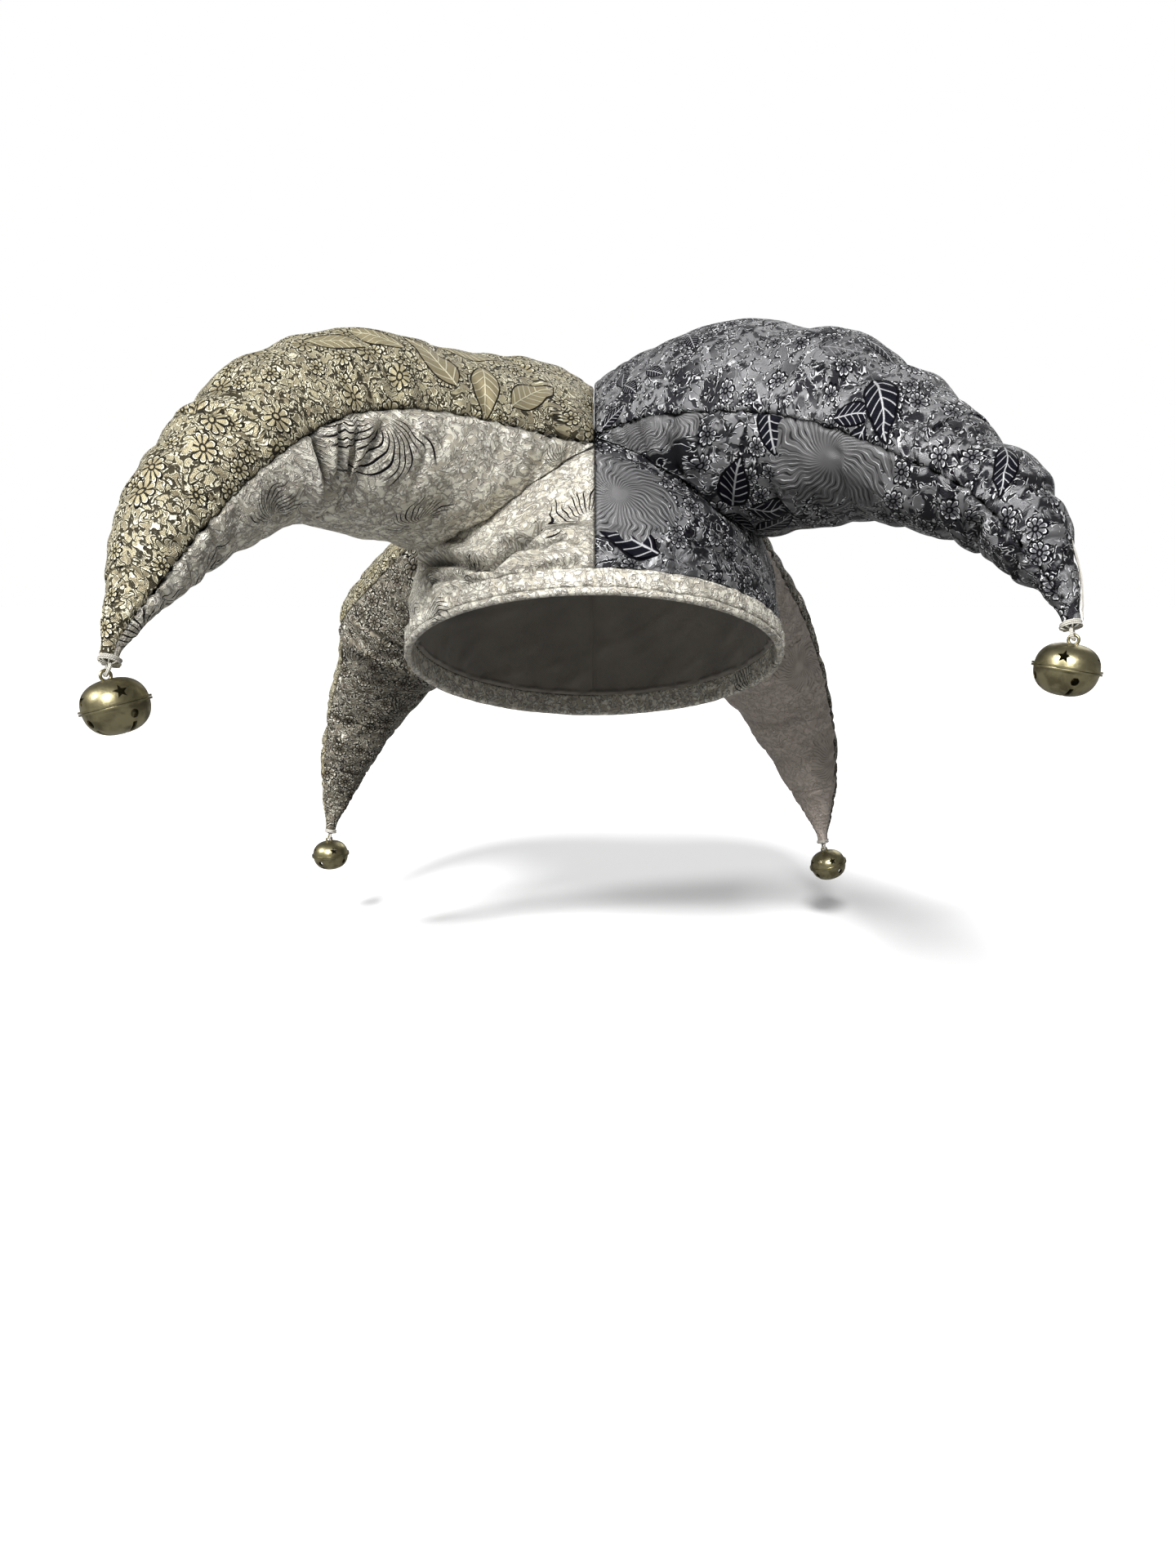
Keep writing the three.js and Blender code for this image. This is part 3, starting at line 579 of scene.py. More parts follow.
def brocade(finish, name):
    """A woven cloth: its marbled field, its scrolling lines, and its motifs, scattered and chosen ones."""
    facts = BROCADES[name]
    cell = facts["cell"]
    sparse = facts["sparse"]
    flat = finish.node("ShaderNodeUVMap", {"uv_map": "cloth"}, {})
    sway = finish.vector("SUBTRACT", finish.other(finish.noise(flat, 55, 2), 1), (0.5, 0.5, 0.5))
    place = finish.vector("ADD", flat, finish.vector("MULTIPLY", sway, (0.005, 0.005, 0.0)))
    marble = finish.noise(place, 1000 / facts["patch"], 3, 1.4).ramp(0.46, 0.55) * facts["marbled"]
    net = scrolls(finish, place, cell) - 0.03
    broken = finish.noise(place, 330, 1).ramp(sparse, sparse + 0.08)
    drift = finish.noise(place, 90, 1).ramp(sparse + 0.04, sparse + 0.12)
    curl = (finish.noise(place, 120, 1, 1.2) * 3.0).sum("FRACT")
    scroll = net.line(0.15 / cell, 0.2 / cell) * broken
    scroll = scroll.most((curl - 0.5).line(0.045, 0.05) * drift) * facts["scroll"]
    # glow is the pale line beside each dark line: a pale thread, painted also as the highlight on the raised
    # side of the line.
    glow = (net - 0.55 / cell).line(0.13 / cell, 0.2 / cell) * broken
    glow = glow.most((curl - 0.64).line(0.04, 0.05) * drift) * facts["shine"]
    cloudy = finish.noise(flat, 24, 3)
    field = finish.mix(marble, facts["ground"], facts["raised"])
    # Large random patches lighten the field towards raised and darken it towards ground: the cloth's random
    # tone, and also a painted satin sheen.
    field = finish.mix(cloudy.ramp(0.52, 0.68, 0.0, 0.55), field, facts["raised"])
    field = finish.mix(cloudy.ramp(0.32, 0.48, 0.5, 0.0), field, facts["ground"])
    ink = None
    lift = marble * 0.35
    chosen = {}
    for kind, centre, turn, size in drawn.get(name, []):
        chosen.setdefault(kind, []).append((centre, turn, size))
    layers = [(*scattered, None) for scattered in facts["motifs"]]
    layers += [(kind, None, 1.0, facts["fills"][kind], 1.0, marks) for kind, marks in chosen.items()]
    for kind, size, share, fill, filled, marks in layers:
        if marks is None:
            local, chance, turn = motif(finish, place if kind == "daisy" else flat, size / 1000, 0.75)
            inside, lines, beside = MOTIFS[kind](finish, local, turn, 1000 * LINE_WIDTH / size)
            shown = chance.ramp(1 - share, 1.01 - share)
        else:
            local = placed(finish, flat, marks)
            usual = sum(mark[2] for mark in marks) / len(marks)
            inside, lines, beside = MOTIFS[kind](finish, local, 0.0, LINE_WIDTH / usual)
            shown = 1.0
        cover = inside * shown
        field = finish.mix(cover * filled, field, fill)
        scroll = scroll * (1.0 - cover)
        ink = lines * shown if ink is None else (ink * (1.0 - cover)).most(lines * shown)
        glow = (glow * (1.0 - cover)).most(beside * shown)
        lift = (lift * (1.0 - cover)) + cover * 0.5
    wear = finish.noise(flat, 8, 2)
    # Pale edges: pale thread, and a painted highlight along the raised lines.
    field = finish.mix(glow * 0.85, field, facts["pale"])
    field = finish.mix(scroll, field, facts["line"])
    field = finish.mix(ink, field, facts["dark"])
    # Painted shade: the colour is darkened towards a tenth of the ground in folds, seams, grooves and hidden
    # faces, where shade falls.
    painted_shade = finish.node("ShaderNodeAttribute", {"attribute_name": "painted_shade"}, {}, output=2)
    field = finish.mix(painted_shade * 0.9, field, tuple(0.1 * share for share in facts["ground"]))
    across, up = finish.parts(flat)
    weave = (across * 9000.0).sin() * (up * 9000.0).sin()
    finish.set(
        Base_Color=field,
        Roughness=wear.ramp(0.35, 0.65, facts["rough"] - 0.06, facts["rough"] + 0.1) + ink * 0.2,
        Metallic=(1.0 - ink.most(scroll)) * facts["metal"],
        Specular_IOR_Level=0.05,
    )
    finish.bump(lift * 0.5 + glow * 0.5 - scroll * 0.6 - ink * 0.7 + weave * 0.04 + cloudy * 0.4, 0.0014)


def lining(finish):
    flat = finish.node("ShaderNodeUVMap", {"uv_map": "cloth"}, {})
    cloudy = finish.noise(flat, 30, 3)
    across, up = finish.parts(flat)
    weave = (across * 7000.0).sin() * (up * 7000.0).sin()
    finish.set(
        Base_Color=finish.mix(cloudy.ramp(0.3, 0.7), (0.2, 0.18, 0.155), (0.26, 0.235, 0.2)),
        Roughness=cloudy * 0.2 + 0.5,
        Sheen_Weight=0.2,
    )
    finish.bump(weave * 0.2 + cloudy * 0.8, 0.0004)


def brass(finish):
    place = finish.other(finish.node("ShaderNodeTexCoord", {}, {}), 3)
    cloud = finish.noise(place, 160, 4, 0.4)
    grain = finish.noise(place, 900, 3)
    tarnish = cloud.ramp(0.38, 0.68)
    base = finish.mix(tarnish, (0.37, 0.33, 0.19), (0.16, 0.14, 0.08))
    finish.set(
        Base_Color=base,
        Metallic=1.0,
        Roughness=tarnish * 0.16 + grain * 0.1 + 0.26,
    )
    finish.bump(grain * 0.3 + cloud * 0.7, 0.00015)


def thread(finish):
    flat = finish.node("ShaderNodeUVMap", {"uv_map": "cloth"}, {})
    across, up = finish.parts(flat)
    ply = ((across * 1.0 + up * 1.0) * 9000.0).sin()
    worn = finish.noise(flat, 250, 2)
    finish.set(
        Base_Color=finish.mix(worn.ramp(0.3, 0.7), (0.7, 0.68, 0.61), (0.5, 0.47, 0.41)),
        Roughness=worn * 0.2 + 0.55,
        Sheen_Weight=0.4,
    )
    finish.bump(ply * 0.5 + worn * 0.5, 0.0002)


FINISHES = {"antique_brass": brass, "white_thread": thread, "plain_lining": lining}
made = {}


def finish_of(name):
    """The material of that name. Its look is made once all pieces are there."""
    if name not in made:
        made[name] = bpy.data.materials.new(name)
    return made[name]


def finishes():
    for name, material in made.items():
        if name in FINISHES:
            FINISHES[name](Finish(material))
        else:
            brocade(Finish(material), name)


def draw(piece, cloth, flat, at, over):
    """Notes where a piece's ornaments lie. at and over give the grid's rows and columns their places."""
    for values in ORNAMENTS:
        mark = dict(zip(ORNAMENT_COLUMNS, values))
        if mark["piece"] == piece:
            row = int(np.argmin(np.abs(at - mark["at"])))
            column = int(np.argmin(np.abs(over - mark["over"])))
            drawn.setdefault(cloth, []).append(
                (mark["kind"], tuple(float(v) for v in flat[row, column]), mark["turn"], mark["size"] / 1000))


# Cloth shapes, in the hat's own frame: the head opening lies in its plane z 0

TO_ROOM = Matrix.Rotation(-CAP_TILT, 3, "X")


def in_room(points):
    return np.asarray(points) @ np.array(TO_ROOM).T


def spline(rows, at):
    """A smooth curve through rows of numbers, at places counted in rows."""
    rows = np.asarray(rows, float)
    around = np.vstack([2 * rows[0] - rows[1], rows, 2 * rows[-1] - rows[-2]])
    first = np.clip(np.floor(at).astype(int), 0, len(rows) - 2)
    share = (at - first)[:, None]
    p0, p1, p2, p3 = (around[first + k] for k in range(4))
    d0, d1, d2 = (
        np.maximum(np.sum((b - a) ** 2, axis=1), 1e-14)[:, None] ** 0.25
        for a, b in ((p0, p1), (p1, p2), (p2, p3))
    )
    leave = ((p1 - p0) / d0 - (p2 - p0) / (d0 + d1) + (p2 - p1) / d1) * d1
    reach = ((p2 - p1) / d1 - (p3 - p1) / (d1 + d2) + (p3 - p2) / d2) * d1
    return p1 + share * (leave + share * (-3 * p1 + 3 * p2 - 2 * leave - reach
                                          + share * (2 * p1 - 2 * p2 + leave + reach)))


def ripple(at, seed, shortest):
    """Uneven waves along a length, between about -1 and 1."""
    total = np.zeros_like(np.asarray(at, float))
    for i, share in enumerate((1.0, 1.37, 1.93, 2.71)):
        total += np.sin(2 * np.pi * at / (shortest * share) + 2.4 * i * seed + seed * seed) / 3
    return total


def eased(distance, rounding):
    """Keeps a distance above 0, with a rounded turn there."""
    share = distance / rounding
    soft = np.where(share > 30, share, np.log1p(np.exp(np.minimum(share, 30))))
    return rounding * (soft + 0.02 / (1 + np.maximum(-share, 0)))


def dome_level(points):
    """1 on the cap's outer surface, more outside it."""
    a, b, h = CAP_WIDTH / 2, CAP_DEPTH / 2, CAP_HEIGHT
    flat = np.sqrt((points[..., 0] / a) ** 2 + (points[..., 1] / b) ** 2)
    high = np.maximum(points[..., 2], 0) / h
    return (flat ** CAP_FULLNESS + high ** CAP_FULLNESS) ** (1 / CAP_FULLNESS)


def horn_run(name):
    heading = math.radians(HORNS[name]["heading"])
    ahead = np.array([math.cos(heading), math.sin(heading), 0])
    side = np.array([-math.sin(heading), math.cos(heading), 0])
    table = np.array(SECTIONS[name])
    path = table[:, :1] * HORN_REACH * ahead + table[:, 1:2] * HORN_RISE * np.array([0, 0, 1])
    sizes = table[:, 2:5] * (HORN_WIDTH / 2, HORN_CROWN, HORN_BELLY)
    return path, sizes, table[:, 5], side


def horn_stations(path, sizes):
    """Places along the horn, closer together towards its thin end."""
    dense = np.linspace(0, len(path) - 1, 2000)
    step = np.linalg.norm(np.diff(spline(path, dense), axis=0), axis=1)
    wide = spline(sizes, dense)[:, 0]
    apart = np.interp(wide, (0.003, 0.045), (0.0012, 0.0038))
    count = np.concatenate([[0], np.cumsum(step / apart[1:])])
    return np.interp(np.linspace(0, count[-1], int(count[-1]) + 1), count, dense)


def horn_loft(name):
    """The stuffed horn as rings of points round it: the top panel first, from one side seam to the other."""
    path, sizes, full, side = horn_run(name)
    at = horn_stations(path, sizes)
    centre = spline(path, at)
    nearby = 1e-3
    tangent = spline(path, np.minimum(at + nearby, len(path) - 1)) - spline(path, np.maximum(at - nearby, 0))
    tangent /= np.linalg.norm(tangent, axis=1)[:, None]
    outward = np.cross(tangent, side)
    size = spline(sizes, at)
    fullness = np.interp(at, range(len(full)), full)
    turn = np.pi * np.arange(2 * HORN_STEPS) / HORN_STEPS
    across = np.cos(turn)[None, :]
    above = np.sin(turn)[None, :] >= 0
    swell = np.abs(np.sin(turn))[None, :] ** (2 * fullness[:, None])
    height = np.where(above, size[:, 1:2], -size[:, 2:3]) * swell
    length = np.concatenate([[0], np.cumsum(np.linalg.norm(np.diff(centre, axis=0), axis=1))])
    shape = (centre[:, None, :] + side * (size[:, :1] * across)[..., None]
             + outward[:, None, :] * height[..., None])
    return shape, centre, at, length


def kept_clear(name, shape):
    """The horn within its own quarter of the hat and outside the cap."""
    heading = math.radians(HORNS[name]["heading"])
    out = shape.copy()
    for axis, sign in ((0, np.sign(math.cos(heading))), (1, np.sign(math.sin(heading)))):
        out[..., axis] = sign * eased(sign * out[..., axis], 0.0008)
    level = dome_level(out)
    pushed = 1 + (eased((level - 1) * 0.1, 0.0008) + GAP / 2) / 0.1
    return out * (pushed / np.maximum(level, 1e-3))[..., None]


def simulated(name, points, faces, hold):
    """Lets stuffed cloth fill out and pucker between what holds it. Worked at ten times the size."""
    scale = 10
    mesh = bpy.data.meshes.new(name)
    mesh.from_pydata([tuple(p) for p in points * scale], [], faces)
    cloth = bpy.data.objects.new(name, mesh)
    bpy.context.scene.collection.objects.link(cloth)
    group = cloth.vertex_groups.new(name="held")
    for i, weight in enumerate(hold):
        group.add([i], float(weight), "REPLACE")
    modifier = cloth.modifiers.new("cloth", "CLOTH")
    cloth_is = modifier.settings
    cloth_is.quality = 6
    cloth_is.mass = 0.2
    cloth_is.tension_stiffness = 14
    cloth_is.compression_stiffness = 14
    cloth_is.shear_stiffness = 6
    cloth_is.bending_stiffness = 0.3
    cloth_is.use_pressure = True
    cloth_is.uniform_pressure_force = 4
    cloth_is.vertex_group_mass = "held"
    cloth_is.shrink_min = -0.06
    cloth_is.effector_weights.gravity = 0
    modifier.collision_settings.use_collision = False
    scene = bpy.context.scene
    for step in range(1, CLOTH_STEPS + 1):
        scene.frame_set(step)
    shaped = cloth.evaluated_get(bpy.context.evaluated_depsgraph_get())
    flat = np.empty(len(points) * 3)
    shaped.data.vertices.foreach_get("co", flat)
    scene.frame_set(1)
    bpy.data.objects.remove(cloth)
    bpy.data.meshes.remove(mesh)
    moved = flat.reshape(-1, 3) / scale - points
    far = np.linalg.norm(moved, axis=1)[:, None]
    furthest = 0.004
    return points + moved * furthest / (furthest + far)


def ring_faces(rings, count, closed=True):
    """Four-sided faces between rings of that many points each."""
    faces = []
    for ring in range(rings - 1):
        for i in range(count if closed else count - 1):
            j = (i + 1) % count
            a, b = ring * count, (ring + 1) * count
            faces.append((a + i, a + j, b + j, b + i))
    return faces


def build(name, points, faces, finish, uv=None, smooth=0, painted_shade=None):
    """A named piece in the room from points in the hat's own frame.

    uv is the place on the flat cloth per point, and painted_shade how much painted shade darkens its colour
    there, from 0 to 1.
    """
    mesh = bpy.data.meshes.new(name)
    mesh.from_pydata([tuple(p) for p in in_room(points)], [], faces)
    if uv is not None:
        layer = mesh.uv_layers.new(name="cloth")
        corner = np.empty(len(mesh.loops), int)
        mesh.loops.foreach_get("vertex_index", corner)
        layer.data.foreach_set("uv", np.asarray(uv)[corner].ravel())
    if painted_shade is not None:
        shade = mesh.attributes.new("painted_shade", "FLOAT", "POINT")
        shade.data.foreach_set("value", np.asarray(painted_shade).ravel())
    work = bmesh.new()
    work.from_mesh(mesh)
    bmesh.ops.recalc_face_normals(work, faces=work.faces)
    for face in work.faces:
        face.smooth = True
    work.to_mesh(mesh)
    work.free()
    piece = bpy.data.objects.new(name, mesh)
    bpy.context.scene.collection.objects.link(piece)
    if smooth:
        bpy.ops.object.select_all(action="DESELECT")
        bpy.context.view_layer.objects.active = piece
        piece.select_set(True)
        rounded = piece.modifiers.new("finer", "SUBSURF")
        rounded.levels = smooth
        rounded.render_levels = smooth
        bpy.ops.object.modifier_apply(modifier="finer")
    piece.data.materials.append(finish_of(finish))
    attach(piece, "root")
    return piece


def gathered(points):
    """Distance along each ring of points, from its middle."""
    step = np.linalg.norm(np.diff(points, axis=1), axis=2)
    along = np.concatenate([np.zeros((len(points), 1)), np.cumsum(step, axis=1)], axis=1)
    return along - along[:, along.shape[1] // 2][:, None]


def finer(grid):
    """The same surface with twice the points each way, on smooth curves through them."""
    for axis in (0, 1):
        rows = np.moveaxis(grid, axis, 0)
        at = np.linspace(0, len(rows) - 1, 2 * len(rows) - 1)
        smooth = spline(rows.reshape(len(rows), -1), at).reshape(len(at), *rows.shape[1:])
        grid = np.moveaxis(smooth, 0, axis)
    return grid


def outward_of(points):
    """The direction out of the stuffing at each point of a panel."""
    normal = np.cross(np.gradient(points, axis=1), np.gradient(points, axis=0))
    normal /= np.maximum(np.linalg.norm(normal, axis=2), 1e-12)[..., None]
    middle = points.mean(axis=1)[:, None, :]
    return normal * np.sign(np.sum(normal * (points - middle), axis=2).mean())


def fold_depth(name, part, at, length, columns):
    """How far folds draw a panel in, per station and column."""
    place = np.linspace(0, 1, columns) if part == "top" else np.linspace(1, 0, columns)
    depth_and_shade = np.zeros((len(at), columns))
    for values in FOLDS:
        fold = dict(zip(FOLD_COLUMNS, values))
        if (fold["horn"], fold["part"]) != (name, part):
            continue
        within = np.clip((place - fold["from"]) / (fold["to"] - fold["from"]), 0, 1)
        row = fold["row"] + fold["slant"] * (within - 0.5)
        width = fold["width"] / 1000
        distance = length[:, None] - np.interp(row, at, length)[None, :]
        groove = np.exp(-(distance / width) ** 2)
        lobe = np.exp(-((distance - 2 * np.sign(fold["lobe"]) * width) / (1.4 * width)) ** 2)
        depth_and_shade += fold["depth"] / 1000 * (groove - abs(fold["lobe"]) * lobe) * np.sin(np.pi * within) ** 0.7
    return depth_and_shade


def detailed(points, at, length, name, part, seed):
    """A panel with its folds and uneven stuffing, puckered at its seams, and how much painted shade darkens
    it there.
    """
    from_middle = gathered(points)
    girth = from_middle[:, -1:] - from_middle[:, :1]
    edge = np.minimum(from_middle - from_middle[:, :1], from_middle[:, -1:] - from_middle)
    small = np.clip(girth / 0.05, 0, 1)
    loose = 1 - np.exp(-(edge / 0.012) ** 2)
    folds = fold_depth(name, part, at, length, points.shape[1])
    raised = -folds * small
    along = length[:, None]
    tip = np.clip((length / length[-1] - 0.55) / 0.3, 0, 1)[:, None]
    raised += 0.0006 * ripple(along + 0.5 * from_middle, seed, 0.017) * loose * small
    raised += 0.0005 * ripple(from_middle - 0.4 * along, seed + 2, 0.015) * loose * small
    raised += 0.0007 * ripple(along - 0.15 * from_middle, seed + 4, 0.0085) * loose * small * tip
    half = points.shape[1] // 2
    left = ripple(length, seed, 0.0075)[:, None]
    right = ripple(length, seed + 5, 0.0075)[:, None]
    beside = np.where(np.arange(points.shape[1])[None, :] < half, left, right)
    raised += 0.0008 * beside * np.exp(-edge / 0.006) * (1 - np.exp(-(edge / 0.0015) ** 2)) * small
    raised -= 0.0011 * np.exp(-(edge / 0.0013) ** 2) * small
    # Painted shade darkens the cloth deep in its folds and along its seams.
    painted_shade = np.maximum(np.clip((folds - 0.001) / 0.006, 0, 1), np.exp(-(edge / 0.0008) ** 2) * small)
    return points + outward_of(points) * raised[..., None], painted_shade


def horn(name):
    shape, centre, at, length = horn_loft(name)
    clear = kept_clear(name, shape)
    moved = np.linalg.norm(clear - shape, axis=2)
    stations, count = clear.shape[:2]
    hold = np.clip(moved / 0.004, 0, 1)
    hold[:, 0] = hold[:, HORN_STEPS] = 1
    hold[0] = hold[-1] = 1
    thin = np.clip(1.4 - spline(horn_run(name)[1], at)[:, 0] / 0.012, 0, 1)
    hold = np.maximum(hold, thin[:, None])
    faces = ring_faces(stations, count)
    clear = simulated(f"{name}_cloth", clear.reshape(-1, 3), faces, hold.ravel()).reshape(clear.shape)
    centre = finer(centre[:, None, :].repeat(2, axis=1))[:, 0]
    for index, part in enumerate(("top", "under")):
        if part == "top":
            panel = clear[:, :HORN_STEPS + 1]
        else:
            panel = np.concatenate([clear[:, HORN_STEPS:], clear[:, :1]], axis=1)
        panel = finer(panel)
        stations = len(panel)
        rows = np.interp(np.linspace(0, 1, stations), np.linspace(0, 1, len(at)), at)
        run = np.interp(rows, at, length)
        panel, painted_shade = detailed(panel, rows, run, name, part, len(name) + index * 3.1)
        panel = kept_clear(name, panel)
        middle = panel[:, HORN_STEPS]
        lift = middle - centre
        lift /= np.maximum(np.linalg.norm(lift, axis=1), 1e-9)[:, None]
        panel = panel + lift[:, None, :] * GAP / 8
        across = gathered(panel)
        along = np.concatenate([[0], np.cumsum(np.linalg.norm(np.diff(middle, axis=0), axis=1))])
        inner = 5
        share = np.arange(1, inner + 1) / (inner + 1)
        lid = panel[:, -1:] * (1 - share)[None, :, None] + panel[:, :1] * share[None, :, None]
        ring = np.concatenate([panel, lid], axis=1)
        lid_across = across[:, -1:] * (1 - share)[None, :] + across[:, :1] * share[None, :]
        uv = np.stack([np.concatenate([across, lid_across], axis=1),
                       np.repeat(along[:, None], ring.shape[1], axis=1)], axis=2)
        uv = uv + (0.37 * index + 0.11 * len(name), 0.23 * index)
        places = np.linspace(0, 1, across.shape[1])
        draw(f"{name}_horn_{part}", HORNS[name][part], uv, rows, places if part == "top" else 1 - places)
        width = ring.shape[1]
        faces = ring_faces(stations, width)
        faces.append(tuple(range(width)))
        faces.append(tuple((stations - 1) * width + i for i in reversed(range(width))))
        # The lid inside the horn, between its two panels, is painted fully in shade.
        painted_shade = np.concatenate([painted_shade, np.ones((stations, inner))], axis=1)
        piece = build(f"{name}_horn_{part}", ring.reshape(-1, 3), faces, HORNS[name][part], uv.reshape(-1, 2),
                      painted_shade=painted_shade)
        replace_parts(piece, f"horn_{name}_{part}")


# Cap

def cap_surface(turn, rise, inset):
    angle = rise * np.pi / 2
    reach = np.cos(angle) ** (2 / CAP_FULLNESS)
    height = np.sin(angle) ** (2 / CAP_FULLNESS)
    return np.stack([
        (CAP_WIDTH / 2 - inset) * reach * np.cos(turn),
        (CAP_DEPTH / 2 - inset) * reach * np.sin(turn),
        (CAP_HEIGHT - inset) * height,
    ], axis=-1)


# Creases of the cap's cloth, as places (degrees round from +X, millimetres above the opening),
# with depth and width in millimetres
CREASES = [
    {"run": [(206, 38), (212, 36), (223, 29.5), (235, 20.5), (241, 18.5), (245, 23.5), (248, 26.5),
             (254, 31)], "depth": 6.5, "width": 2.4},
    {"run": [(248, 26), (256, 24), (262, 27), (266, 23)], "depth": 3.0, "width": 1.9},
    {"run": [(214, 23), (222, 21), (230, 17), (236, 14)], "depth": 2.8, "width": 1.7},
    {"run": [(229, 12.8), (236, 13.5), (243, 12.5)], "depth": 2.0, "width": 1.4},
    {"run": [(250, 12.8), (257, 14.5), (264, 14.2)], "depth": 2.4, "width": 1.5},
    {"run": [(264, 12), (266.5, 17), (268, 22)], "depth": 0.9, "width": 1.3},
    {"run": [(273, 20), (281, 17), (290, 15)], "depth": 1.2, "width": 1.6},
    {"run": [(287, 24), (296, 19), (304, 17)], "depth": 1.2, "width": 1.8},
    {"run": [(299, 33), (308, 27), (318, 29)], "depth": 2.0, "width": 2.0},
    {"run": [(320, 18), (330, 22), (338, 19)], "depth": 1.2, "width": 2.0},
    {"run": [(192, 22), (199, 27), (205, 24)], "depth": 1.2, "width": 2.0},
]


def cap_relief(turn, height):
    """How far creases and puckers raise the cap's cloth, and how much painted shade darkens each point in
    them, from 0 to 1.
    """
    around = CAP_AROUND * turn
    level = np.exp(-np.maximum(height - BAND_HEIGHT, 0) / 0.012)
    raised = 0.0011 * ripple(around, 3.3, 0.0085) * level
    raised += 0.001 * ripple(around + 0.7 * height, 1.7, 0.019) * np.exp(-np.maximum(height - 0.02, 0) / 0.03)
    raised += 0.0006 * ripple(height + 0.35 * around, 2.2, 0.013)
    painted_shade = np.zeros(np.shape(turn))
    for crease in CREASES:
        run = np.array([(CAP_AROUND * math.radians(a), h / 1000) for a, h in crease["run"]])
        nearest = np.full(np.shape(turn), 1e9)
        above = np.zeros(np.shape(turn))
        for (x0, y0), (x1, y1) in zip(run[:-1], run[1:]):
            dx, dy = x1 - x0, y1 - y0
            share = np.clip(((around - x0) * dx + (height - y0) * dy) / (dx * dx + dy * dy), 0, 1)
            gone = np.hypot(around - x0 - share * dx, height - y0 - share * dy)
            closer = gone < nearest
            nearest = np.where(closer, gone, nearest)
            above = np.where(closer, height - y0 - share * dy, above)
        width, depth = crease["width"] / 1000, crease["depth"] / 1000
        raised -= depth * np.exp(-(nearest / width) ** 2)
        # Painted shade darkens the cloth along each crease.
        painted_shade = np.maximum(painted_shade, min(depth / 0.004, 1) * np.exp(-(nearest / (0.6 * width)) ** 2))
        swell = np.exp(-((above - 1.8 * width) / (1.5 * width)) ** 2) * np.exp(-(nearest / (4 * width)) ** 2)
        raised += 0.7 * depth * swell
    return raised, painted_shade


